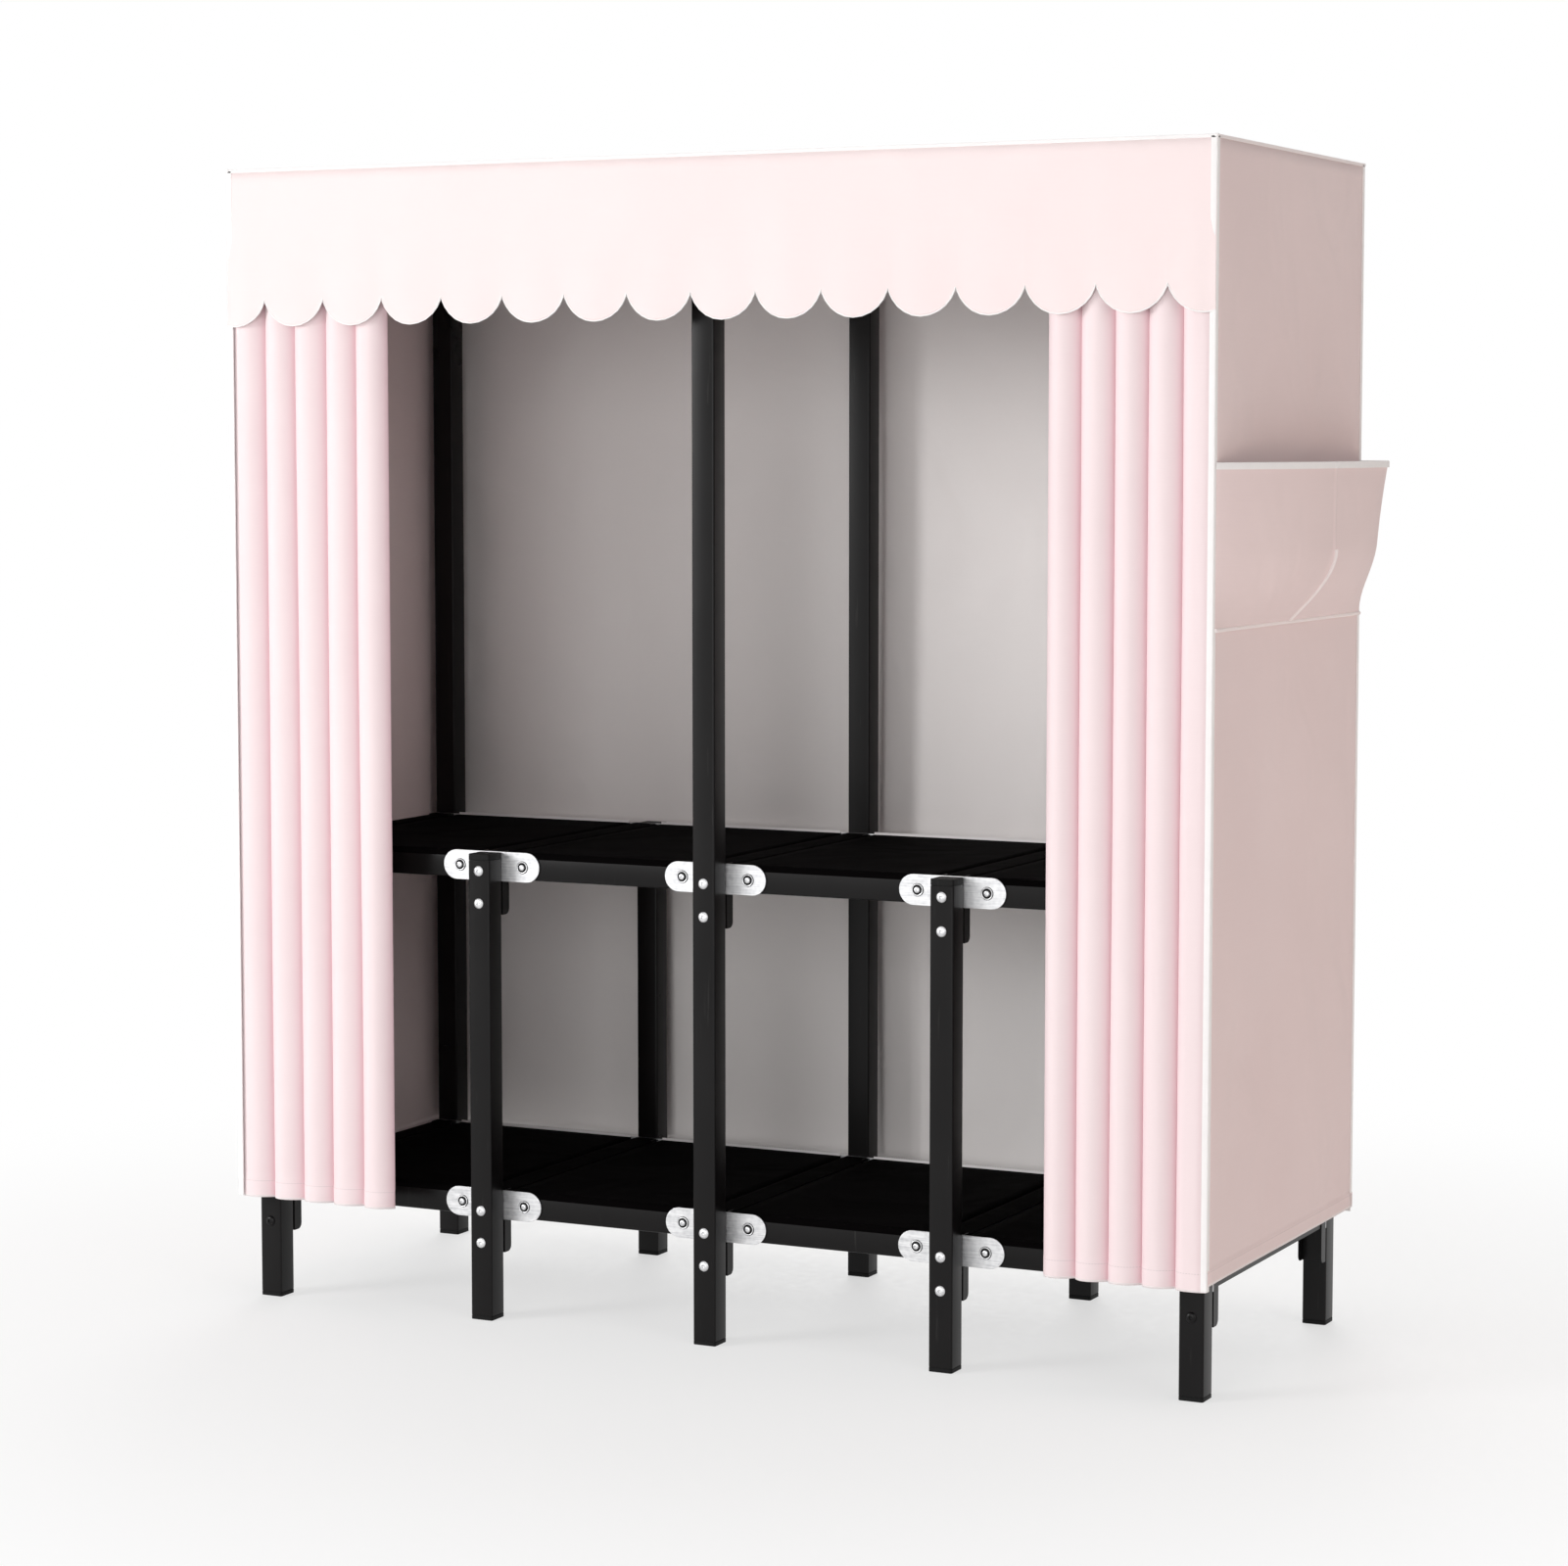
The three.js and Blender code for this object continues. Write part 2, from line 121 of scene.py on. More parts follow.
def add(tree, kind, sockets=None, out=0, **settings):
    """A new shader node. It gives back one of its outputs, or the node itself if out is None."""
    made = tree.nodes.new("ShaderNode" + kind)
    for key, value in settings.items():
        setattr(made, key, value)
    plug(tree, made.inputs, sockets or {})
    return made if out is None else made.outputs[out]


def new_material(name):
    """A material, its nodes, the inputs of its shader, and the places that its patterns follow."""
    material = bpy.data.materials.new(name)
    material.use_nodes = True
    tree = material.node_tree
    return material, tree, tree.nodes["Principled BSDF"].inputs, add(tree, "TexCoord", out="Object")


def maths(tree, operation, *values):
    return add(tree, "Math", dict(enumerate(values)), operation=operation)


def sum_of(tree, total, *values):
    for value in values:
        total = maths(tree, "ADD", total, value)
    return total


def clouds(tree, places, scale, detail, out=0, **more):
    """Uneven noise in space, or in stretched space."""
    return add(tree, "TexNoise", {"Vector": places, "Scale": scale, "Detail": detail, **more}, out)


def stretched(tree, places, scale):
    return add(tree, "Mapping", {"Vector": places, "Scale": scale})


def ramp(tree, value, *stops):
    """A ramp between two stops of (place, grey) or (place, (r, g, b))."""
    made = add(tree, "ValToRGB", {0: value}, None)
    for mark, (place, tint) in zip(made.color_ramp.elements, stops):
        mark.position = place
        mark.color = (*(tint if isinstance(tint, tuple) else (tint, tint, tint)), 1)
    return made.outputs["Color"]


def seen_by_eye(tree):
    """1 for what the camera, a mirror or glass shows, and 0 for light that falls on the object."""
    path = add(tree, "LightPath", out=None)
    rays = [path.outputs[f"Is {kind} Ray"] for kind in ("Camera", "Glossy", "Transmission")]
    return add(tree, "Clamp", {0: sum_of(tree, *rays)})


# %% World
WORLD_LIGHT = (1.0, 0.98, 0.97, 1)
WORLD_STRENGTH = 0.35

world = bpy.data.worlds.new("studio")
world.use_nodes = True
bpy.context.scene.world = world
sky = world.node_tree
sky.nodes.clear()
soft = add(sky, "Background", {"Color": WORLD_LIGHT, "Strength": WORLD_STRENGTH})
white = add(sky, "Background", {"Color": WHITE, "Strength": 1.0})
chosen = add(sky, "MixShader", {0: seen_by_eye(sky), 1: soft, 2: white})
add(sky, "OutputWorld", {"Surface": chosen}, None)
print("world strength", WORLD_STRENGTH)

# %% Lamps
# Each lamp has its place, width, power, aim and colour.
LAMPS = {
    "key_lamp": ((-5.2, -5.4, 2.5), 3.0, 278, (0, 0, 0.9), WHITE),
    "front_lamp": ((0.8, -7.0, 1.5), 3.4, 104, (0.2, 0, 0.8), WHITE),
    "side_lamp": ((4.5, -2.4, 2.4), 2.4, 28, (0.7, 0.1, 1.1), WHITE),
    "low_lamp": ((3.6, 0.4, 0.45), 1.5, 11, (0.7, 0.15, 0.35), (1.0, 0.76, 0.6)),
    "back_lamp": ((-1.8, 4.6, 2.6), 3.0, 90, (0, 0, 0.9), WHITE),
    "top_lamp": ((0.1, 0.1, 4.4), 2.4, 26, (0, 0, 0), WHITE),
}

for name, (place, size, power, aim, colour) in LAMPS.items():
    lamp = new_object(name, bpy.data.lights.new(name, "AREA"))
    lamp.data.shape = "DISK"
    lamp.data.size = size
    lamp.data.energy = power
    lamp.data.color = colour[:3]
    lamp.location = place
    lamp.rotation_euler = (Vector(aim) - Vector(place)).to_track_quat("-Z", "Y").to_euler()
print("lamps", sorted(LAMPS))

# %% Floor
FLOOR_RADIUS = 9.0
FLOOR_CORNERS = 96
FLOOR_COLOUR = (0.92, 0.915, 0.91, 1)
SHADOW_REACH = (0.8, 2.2)
LEAST_GLOW = 0.62


def arc(middle, radius, start, end, steps):
    """Points on a circle from one angle to another, in degrees."""
    turns = np.radians(np.linspace(start, end, steps + 1))
    return [(middle[0] + radius * math.cos(t), middle[1] + radius * math.sin(t)) for t in turns]


def new_mesh(name, points, faces, materials):
    """A smooth object made from lists of points and faces."""
    mesh = bpy.data.meshes.new(name)
    mesh.from_pydata(points, [], faces)
    for material in materials:
        mesh.materials.append(material)
    mesh.shade_smooth()
    return new_object(name, mesh)


def floor_material():
    """Pale near the wardrobe, where it takes the shadow, and fading to the white background further out."""
    material, tree, coat, places = new_material("pale_floor")
    distance = add(tree, "VectorMath", {0: places}, "Value", operation="LENGTH")
    limits = dict(enumerate((distance, *SHADOW_REACH, LEAST_GLOW, 1.0)))
    fade = add(tree, "MapRange", limits, interpolation_type="SMOOTHSTEP")
    rough = ramp(tree, clouds(tree, places, 60.0, 4.0), (0.3, 0.55), (0.7, 0.75))
    plug(tree, coat, {"Base Color": FLOOR_COLOUR, "Roughness": rough})
    glow = add(tree, "Emission", {"Color": WHITE, "Strength": 1.0})
    share = maths(tree, "MULTIPLY", fade, seen_by_eye(tree))
    both = add(tree, "MixShader", {0: share, 1: tree.nodes["Principled BSDF"].outputs[0], 2: glow})
    plug(tree, tree.nodes["Material Output"].inputs, {"Surface": both})
    return material


rim = [(*point, 0) for point in arc((0, 0), FLOOR_RADIUS, 0, 360, FLOOR_CORNERS)[:-1]]
new_mesh("floor", rim, [list(range(FLOOR_CORNERS))], [floor_material()])
print("floor radius", FLOOR_RADIUS)

# %% Colour management
bpy.context.scene.view_settings.view_transform = "Standard"
print("view transform", bpy.context.scene.view_settings.view_transform)

# %% [markdown]
# ## Places from the frame
# Nothing here is measured twice. The columns, levels and plates are read from the boxes of the packed
# nodes, so each new piece lies exactly where the node that it stands for lies.

# %% Columns and levels
COLUMNS = range(5)
BAYS = range(4)
TALL = (0, 2, 4)
END_COLUMNS = (0, 4)
ROWS = {"front": -1, "rear": 1}
SHELVES = {"low": "low_shelf", "mid": "mid_shelf", "top": "top"}
frame_bodies = [f"{word}_frame" for word in ("left_end", "left_inner", "centre", "right_inner", "right_end")]
bay_names = ["left_outer", "left_inner", "right_inner", "right_outer"]


def centre_of(node):
    low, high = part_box(node)
    return (low + high) / 2


def size_of(node):
    low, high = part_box(node)
    return high - low


def plate_face(row, k=2):
    """Y of the outer faces of the hinge plates of a column, on which the posts stand."""
    low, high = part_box(f"low_cross_member_{k}")
    return low.y if row == "front" else high.y


column_x = [centre_of(f"front_post_{k}").x for k in COLUMNS]
post_width = size_of("front_post_0").x
middle_x = column_x[2]
levels = {level: centre_of(f"{word}_frame_0").z for level, word in SHELVES.items()}
print("columns", [round(x, 4) for x in column_x], "levels", {k: round(z, 4) for k, z in levels.items()})

# %% [markdown]
# ## Making meshes
# A solid can come from Blender's own tools, from modifiers, or from lists of points and faces.
# Points and faces are chosen here, because nearly every piece of the frame is a row of closed rings: an
# outline carried along one axis or turned round it. One helper joins the rings with faces. A Bevel
# modifier then rounds the edges, and its hardened normals keep the wide faces flat while the rounded
# edges catch the light.

# %% Outlines and solids
AXES = {"x": (1, 2, 0), "y": (0, 2, 1), "z": (0, 1, 2)}


def loft(rings, ends="capped"):
    """Faces from each closed ring of points to the next. A ring may be a single point.

    The two ends are capped, left open, or joined to each other."""
    count = max(len(ring) for ring in rings)
    points, rows = [], []
    for ring in rings:
        rows.append([len(points) + (s if len(ring) > 1 else 0) for s in range(count)])
        points.extend([float(value) for value in point] for point in ring)
    if ends == "joined":
        rows.append(rows[0])
    faces = [
        tuple(dict.fromkeys((low[s], low[(s + 1) % count], high[(s + 1) % count], high[s])))
        for low, high in zip(rows, rows[1:])
        for s in range(count)
    ]
    if ends == "capped":
        faces += [rows[0][::-1], rows[-1]]
    return points, faces


def laid(outline, axis, along):
    """A flat outline as points in space, square to the axis at one place along it."""
    ring = np.zeros((len(outline), 3))
    ring[:, AXES[axis]] = [(*point, along) for point in outline]
    return ring


def rounded_rectangle(wide, high, radius, steps=5, middle=(0, 0)):
    """The outline of a rectangle with round corners, going round once."""
    points = []
    for quarter, (a, b) in enumerate(((1, 1), (-1, 1), (-1, -1), (1, -1))):
        corner = (middle[0] + a * (wide / 2 - radius), middle[1] + b * (high / 2 - radius))
        points += arc(corner, radius, 90 * quarter, 90 * quarter + 90, steps)
    return points


def carried(outline, axis, start, end):
    """A closed solid: the outline, in the two other directions, carried from start to end along the axis."""
    return loft([laid(outline, axis, start), laid(outline, axis, end)])


def turned(profile, steps, axis, place, sign=1):
    """A solid of revolution: profile lists (radius, reach), and reach runs along the axis from place."""
    across, up, along = AXES[axis]
    rings = []
    for radius, reach in profile:
        circle = arc((place[across], place[up]), radius, 0, 360, steps)[: steps if radius else 1]
        rings.append(laid(circle, axis, place[along] + sign * reach))
    return loft(rings, "open")


def block(x, y, z):
    """A box between two values along each axis."""
    return carried([(x[0], y[0]), (x[1], y[0]), (x[1], y[1]), (x[0], y[1])], "z", *z)


# %% From points and faces to a piece
SHARP_ANGLE = math.radians(38)
BEVEL_STEPS = 2


def build(name, parts, materials, edge=0.0):
    """Joins parts of (points, faces) or (points, faces, material number) into a piece, and rounds it."""
    points, faces, tints = [], [], []
    for part_points, part_faces, *tint in parts:
        faces += [[len(points) + i for i in face] for face in part_faces]
        tints += (tint or [0]) * len(part_faces)
        points += part_points
    piece = new_mesh(name, points, faces, materials)
    mesh = piece.data
    mesh.polygons.foreach_set("material_index", tints)
    mesh.validate()
    cage = bmesh.new()
    cage.from_mesh(mesh)
    bmesh.ops.recalc_face_normals(cage, faces=cage.faces)
    cage.to_mesh(mesh)
    cage.free()
    if edge:
        bevel = piece.modifiers.new("rounded_edges", "BEVEL")
        bevel.width = edge
        bevel.segments = BEVEL_STEPS
        bevel.limit_method = "ANGLE"
        bevel.angle_limit = SHARP_ANGLE
        bevel.harden_normals = True
    else:
        mesh.set_sharp_from_angle(angle=SHARP_ANGLE)
    return piece


def hand_over(piece, body, slot, *nodes):
    """Seats a finished piece on its body and hides the nodes that it stands for."""
    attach(piece, body)
    if nodes:
        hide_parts(*nodes)
    return piece


def fit(name, parts, materials, body, slot, *nodes, edge=0.0):
    return hand_over(build(name, parts, materials, edge), body, slot, *nodes)


# %% [markdown]
# ## Finishes for the steel
# The frame is powder coated: black, half gloss, with a fine orange-peel skin that breaks up reflections,
# and pale scuffs where the coat has rubbed. The plates, bolts and hanging rails are bright zinc. Their
# streaks run along the sheet, and their roughness changes from place to place.

# %% Steel and plastic materials
RUBBED_COLOUR = (0.05, 0.048, 0.046, 1)
SKIN_DEPTH = 0.0002


def bump(tree, height, strength, distance, **under):
    return add(tree, "Bump", {"Height": height, "Strength": strength, "Distance": distance, **under})


def mixed(tree, share, first, second):
    """The first colour where the share is 0 and the second where it is 1."""
    return add(tree, "Mix", {0: share, 6: first, 7: second}, 2, data_type="RGBA")


def powder_coat(name, dark, pale, rough, gloss):
    """Powder coat: slightly cloudy colour, uneven gloss, orange peel and pale scuffs along its length."""
    material, tree, coat, places = new_material(name)
    cloud = clouds(tree, places, 5.0, 3.0)
    scuffs = clouds(tree, stretched(tree, places, (160.0, 160.0, 9.0)), 1.0, 4.0)
    worn = ramp(tree, scuffs, (0.66, 0.0), (0.78, 0.35))
    base = ramp(tree, cloud, (0.3, dark), (0.75, pale))
    settings = {
        "Base Color": mixed(tree, worn, base, RUBBED_COLOUR),
        "Roughness": ramp(tree, cloud, (0.25, rough[0]), (0.8, rough[1])),
        "Specular IOR Level": gloss,
        "Normal": bump(tree, clouds(tree, places, 700.0, 2.0), 0.25, SKIN_DEPTH),
    }
    plug(tree, coat, settings)
    return material


def zinc(name, stretch):
    """Bright zinc with streaks along one direction."""
    material, tree, coat, places = new_material(name)
    streaks = clouds(tree, stretched(tree, places, stretch), 1.0, 6.0)
    flowers = add(tree, "TexVoronoi", {"Vector": places, "Scale": 160.0}, "Distance")
    tone = maths(tree, "MULTIPLY_ADD", flowers, 0.25, streaks)
    settings = {
        "Base Color": ramp(tree, tone, (0.35, (0.52, 0.525, 0.54)), (0.8, (0.74, 0.74, 0.745))),
        "Metallic": 0.9,
        "Roughness": ramp(tree, tone, (0.3, 0.3), (0.8, 0.46)),
        "Normal": bump(tree, streaks, 0.2, SKIN_DEPTH),
    }
    plug(tree, coat, settings)
    return material


COAT_COLOURS = ((0.0036, 0.0031, 0.0032), (0.0046, 0.004, 0.0041))
PLASTIC_COLOURS = ((0.005, 0.005, 0.005), (0.0075, 0.0075, 0.0075))
black_coat = powder_coat("black_powder_coat", *COAT_COLOURS, (0.26, 0.36), 0.18)
black_plastic = powder_coat("black_plastic", *PLASTIC_COLOURS, (0.5, 0.62), 0.12)
bright_zinc = zinc("bright_zinc", (30.0, 260.0, 900.0))
tube_zinc = zinc("bright_zinc_tube", (22.0, 500.0, 500.0))
print("steel finishes", black_coat.name, bright_zinc.name)

# %% [markdown]
# ## Posts, caps and bolts
# Each post is a square steel tube with round corners. A black plastic foot closes it below and a cap
# closes it above, with a narrow groove where the plastic meets the steel. Pairs of domed bolts hold
# the brackets behind it. They are bright zinc. On the two end columns the photograph shows no bright
# bolt below the curtains, so there they are black like the posts.

# %% Posts
GAP = 0.0003
CORNER = 0.003
CAP_HEIGHT = 0.009
FOOT_HEIGHT = 0.006
GROOVE = 0.0006
TUBE_WALL = 0.0012
STEEL_ROUND = 0.0005


def post_parts(x, y, height):
    """The steel tube, the foot and the cap of one post that stands at (x, y), with the necks inside them."""
    outer, neck, bore = (
        rounded_rectangle(post_width - 2 * inset, post_width - 2 * inset, radius, middle=(x, y))
        for inset, radius in ((0, CORNER), (GROOVE, CORNER), (TUBE_WALL, CORNER - TUBE_WALL))
    )
    foot, top = FOOT_HEIGHT + GROOVE, height - CAP_HEIGHT - GROOVE
    corners = ((outer, foot), (outer, top), (bore, top), (bore, foot))
    rings = [laid(outline, "z", z) for outline, z in corners]
    plugs = (
        (outer, 0.0, FOOT_HEIGHT),
        (outer, height - CAP_HEIGHT, height),
        (neck, FOOT_HEIGHT / 2, 3 * FOOT_HEIGHT),
        (neck, height - 2 * CAP_HEIGHT, height - CAP_HEIGHT / 2),
    )
    return [loft(rings, "joined"), *[(*carried(outline, "z", *ends), 1) for outline, *ends in plugs]]


for k in COLUMNS:
    for row, flank in ROWS.items():
        node = f"{row}_post_{k}"
        y = plate_face(row, k) + flank * (post_width / 2 + GAP)
        parts = post_parts(column_x[k], y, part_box(node)[1].z)
        post = build(f"{node}_tube", parts, [black_coat, black_plastic], STEEL_ROUND)
        hand_over(post, frame_bodies[k], "black_steel", node)

# %% Bolts
BOLT_STEPS = 28
BOLT_DROP = 0.004
BOLT_SPACING = 0.048
BOLT_PROFILE = [
    (0.0075, 0.0), (0.0077, 0.0006), (0.0074, 0.0012), (0.0066, 0.0021), (0.0052, 0.0029),
    (0.0037, 0.0033), (0.0024, 0.00335), (0.0021, 0.0030), (0.0017, 0.0018), (0.0, 0.0014),
]

for k in COLUMNS:
    for row, flank in ROWS.items():
        y = plate_face(row, k) + flank * (post_width + GAP)
        held = [z for level, z in levels.items() if level != "top" or k in TALL]
        heads = [
            turned(BOLT_PROFILE, BOLT_STEPS, "y", (column_x[k], y, z - BOLT_DROP - step), flank)
            for z in held
            for step in (0, BOLT_SPACING)
        ]
        finish, slot = (black_coat, "black_steel") if k in END_COLUMNS else (bright_zinc, "zinc_steel")
        fit(f"{row}_bolts_{k}", heads, [finish], frame_bodies[k], slot)
print("bolts", 2 * (3 * 6 + 2 * 4))

# %% [markdown]
# ## Hinge plates, brackets and rungs
# At each level a zinc plate with round ends crosses behind the post and takes a rivet on each side.
# A black channel behind it wraps the bolts, and a black rung runs from the front channel to the rear one.
# At the two ends of the wardrobe the plate has one round end only.

# %% Cross members
PLATE_THICKNESS = 0.0025
PLATE_HEIGHT = 0.044
PLATE_STEPS = 14
BRACKET_DEPTH = 0.019
BRACKET_WALL = 0.0015
BRACKET_FOOT_RADIUS = 0.009
BRACKET_ROUND = 0.0004
RUNG_HEIGHT = 0.038
RUNG_WALL = 0.001


def plate_outline(x, low, high, z):
    """Round at an end that reaches past the post, and square at an end that stops at the post."""
    radius = PLATE_HEIGHT / 2
    points = []
    for end, side in ((high, 1), (low, -1)):
        if abs(end - x) > post_width:
            points += arc((end - side * radius, z), radius, -90 * side, 180 - 90 * side, PLATE_STEPS)
        else:
            points += [(end, z - side * radius), (end, z + side * radius)]
    return points


def bracket_parts(x, y_plate, inward, top, foot):
    """A channel: a web on the plate and two wings whose lower corners are round."""
    wing_end = y_plate + inward * BRACKET_DEPTH
    middle = (wing_end - inward * BRACKET_FOOT_RADIUS, foot + BRACKET_FOOT_RADIUS)
    corner = arc(middle, BRACKET_FOOT_RADIUS, -90, 90 * inward - 90, 5)
    wing = [(y_plate, foot), *corner, (wing_end, top), (y_plate, top)]
    half = post_width / 2
    web_x = (x - half + BRACKET_WALL / 2, x + half - BRACKET_WALL / 2)
    return [
        carried(wing, "x", x - half, x - half + BRACKET_WALL),
        carried(wing, "x", x + half - BRACKET_WALL, x + half),
        block(web_x, sorted((y_plate, y_plate + inward * BRACKET_WALL)), (foot, top)),
    ]


def rung_outline(x, z):
    half = post_width / 2 - BRACKET_WALL
    low, high = z - RUNG_HEIGHT / 2, z + RUNG_HEIGHT / 2
    inner, under = half - RUNG_WALL, high - RUNG_WALL
    return [
        (x - half, low), (x - inner, low), (x - inner, under), (x + inner, under),
        (x + inner, low), (x + half, low), (x + half, high), (x - half, high),
    ]


def cross_member(level, k, node, body):
    low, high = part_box(node)
    x, z = column_x[k], levels[level]
    outline = plate_outline(x, low.x, high.x, z)
    front, rear = low.y + PLATE_THICKNESS, high.y - PLATE_THICKNESS
    plates = [carried(outline, "y", low.y, front), carried(outline, "y", rear, high.y)]
    fit(f"{level}_hinge_plates_{k}", plates, [bright_zinc], body, "zinc_steel", node, edge=STEEL_ROUND)
    foot = min(low.z, z - PLATE_HEIGHT / 2)
    rung = carried(rung_outline(x, z), "y", front + BRACKET_WALL, rear - BRACKET_WALL)
    steel = [*bracket_parts(x, front, 1, high.z, foot), *bracket_parts(x, rear, -1, high.z, foot), rung]
    name = f"{level}_rung_and_brackets_{k}"
    fit(name, steel, [black_coat], body, "black_steel", node, edge=BRACKET_ROUND)


for k in COLUMNS:
    cross_member("low", k, f"low_cross_member_{k}", frame_bodies[k])
    cross_member("mid", k, f"mid_cross_member_{k}", frame_bodies[k])
    knuckle = {1: "left_knuckle", 3: "right_knuckle"}.get(k, frame_bodies[k])
    cross_member("top", k, f"top_cross_member_{k}" if k in TALL else f"top_knuckle_{k}", knuckle)
print("cross members", 3 * len(COLUMNS))

# %% [markdown]
# ## Shelf frames, top frames and rivets
# Every bay has the same flat frame at three levels: two rails, two end bars and a rivet in each corner.
# Each rivet shows as a bright ring with a nut inside it. The groove between the two has some real depth
# in the turned profile, and a black disc under the ring and nut paints shade into it and a thin contact
# shadow round the ring.

# %% Rails and rivets
RAIL_DEPTH = 0.02
RAIL_HEIGHT = 0.038
RAIL_CORNER = 0.0022
RAIL_ROUND = 0.0006
END_BAR = (0.003, 0.03)
RIVET_STEPS = 32
RIVET_INSET = 0.024
RING_PROFILE = [
    (0.0078, 0.0), (0.0082, 0.0006), (0.0087, 0.0009), (0.0086, 0.0015), (0.0080, 0.0018),
    (0.0073, 0.0016), (0.0069, 0.0009), (0.0068, 0.0003),
]
# A black disc under the ring and nut: painted shade in the groove and a painted contact shadow round the
# ring.
SHADE_DISC_PROFILE = [(0.0094, 0.0), (0.0093, 0.0003), (0.0, 0.00035)]
NUT_PROFILE = [
    (0.0043, 0.0003), (0.0044, 0.0022), (0.0039, 0.0032), (0.0028, 0.0037), (0.0018, 0.0038),
    (0.0014, 0.0030), (0.0, 0.0029),
]

rail_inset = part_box("low_shelf_cloth_0")[0].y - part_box("low_shelf_frame_0")[0].y


def frame_parts(low, high, z):
    """Two rails along X and two end bars between them."""
    front, rear = low.y + rail_inset, high.y - rail_inset
    parts = []
    for y in (front + RAIL_DEPTH / 2, rear - RAIL_DEPTH / 2):
        outline = rounded_rectangle(RAIL_DEPTH, RAIL_HEIGHT, RAIL_CORNER, steps=3, middle=(y, z))
        parts.append(carried(outline, "x", low.x, high.x))
    for x in (low.x, high.x - END_BAR[0]):
        heights = (z - END_BAR[1] / 2, z + END_BAR[1] / 2)
        parts.append(block((x, x + END_BAR[0]), (front + RAIL_DEPTH, rear - RAIL_DEPTH), heights))
    return parts


def rivet_parts(low, high, z):
    # The disc takes material number 1, the black plastic, to paint that shade.
    profiles = ((RING_PROFILE, 0), (SHADE_DISC_PROFILE, 1), (NUT_PROFILE, 0))
    return [
        (*turned(profile, RIVET_STEPS, "y", (x, plate_face(row), z), flank), tint)
        for row, flank in ROWS.items()
        for x in (low.x + RIVET_INSET, high.x - RIVET_INSET)
        for profile, tint in profiles
    ]


for bay in BAYS:
    for level, word in SHELVES.items():
        node = f"{word}_frame_{bay}"
        body = f"{bay_names[bay]}_top_frame" if level == "top" else f"{bay_names[bay]}_{word}"
        spot = (*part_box(node), levels[level])
        fit(f"{node}_rails", frame_parts(*spot), [black_coat], body, "black_steel", node, edge=RAIL_ROUND)
        rivets = build(f"{level}_rivets_{bay}", rivet_parts(*spot), [bright_zinc, black_plastic])
        hand_over(rivets, body, "zinc_steel", node)
print("rivets", 4 * 3 * len(BAYS))

# %% Hanging rails
# Each is a zinc tube that ends in a black plastic socket on each end bar.
TUBE_RADIUS = 0.0125
TUBE_ROUND = 0.001
TUBE_DISH = 0.0002
TUBE_STEPS = 40
SOCKET_RADIUS = 0.0165
SOCKET_LENGTH = 0.012
SOCKET_PROFILE = [
    (TUBE_RADIUS, 0), (SOCKET_RADIUS, 0), (SOCKET_RADIUS, SOCKET_LENGTH - TUBE_ROUND),
    (SOCKET_RADIUS - TUBE_ROUND, SOCKET_LENGTH), (TUBE_RADIUS, SOCKET_LENGTH),
]

for bay in BAYS:
    node = f"hanging_rail_{bay}"
    low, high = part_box(node)
    bar_low, bar_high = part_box(f"top_frame_{bay}")
    y, z = centre_of(node).yz
    slim = TUBE_RADIUS - TUBE_ROUND
    tube = [
        (0.0, low.x + TUBE_DISH), (slim, low.x), (TUBE_RADIUS, low.x + TUBE_ROUND),
        (TUBE_RADIUS, high.x - TUBE_ROUND), (slim, high.x), (0.0, high.x - TUBE_DISH),
    ]
    parts = [turned(tube, TUBE_STEPS, "x", (0, y, z))]
    for x, inward in ((bar_low.x + END_BAR[0], 1), (bar_high.x - END_BAR[0], -1)):
        parts.append((*turned(SOCKET_PROFILE, RIVET_STEPS, "x", (x, y, z), inward), 1))
    body = f"{bay_names[bay]}_top_frame"
    fit(f"{node}_tube", parts, [tube_zinc, black_plastic], body, "zinc_steel", node)
print("hanging rails", len(BAYS))

# %% [markdown]
# ## Cloth: how it is made
# The cover is thin woven cloth on a tight frame, so it hardly drapes: it is flat, with soft waves, a few
# pulls near the corners, turned hems and piped seams. A cloth simulation could make the waves, but a
# formula gives the same waves each time and keeps the seams together where two panels meet.
# Each sheet is a fine grid. A map named cloth holds the true length along each thread direction, so that
# the weave and the stitches of every material have their real size, on folds as well as on flat cloth.

# %% Cloth helpers
CLOTH_THICKNESS = 0.0011


def spread(start, end, step):
    """Evenly spaced values from start to end, about one step apart."""
    return np.linspace(start, end, max(2, round(abs(end - start) / step) + 1))


def wave(u, v, seed, size=0.35):
    """Soft uneven waves between -1 and 1, the same at each run."""
    broad = noise.noise(Vector((u / size, v / (1.7 * size), seed)))
    fine = noise.noise(Vector((u / (0.45 * size), v / (0.8 * size), seed + 7.3)))
    return broad + 0.4 * fine


def add_map(mesh, name, pairs):
    """A map that gives each point its pair of numbers."""
    layer = mesh.uv_layers.new(name=name)
    for loop in mesh.loops:
        layer.data[loop.index].uv = pairs[loop.vertex_index]


def cloth_grid(name, us, vs, place, material, chart=None, thickness=CLOTH_THICKNESS, offset=0.0):
    """A sheet whose point for the lengths (u, v) is place(u, v), with a map of the lengths.

    Where the cut edge isn't straight, chart(point) gives the lengths instead."""
    lengths = [(u, v) for v in vs for u in us]
    points = [place(u, v) for u, v in lengths]
    wide = len(us)
    corners = [j * wide + i for j in range(len(vs) - 1) for i in range(wide - 1)]
    sheet = new_mesh(name, points, [(c, c + 1, c + wide + 1, c + wide) for c in corners], [material])
    add_map(sheet.data, "cloth", [chart(point) for point in points] if chart else lengths)
    solid = sheet.modifiers.new("thickness", "SOLIDIFY")
    solid.thickness = thickness
    solid.offset = offset
    return sheet


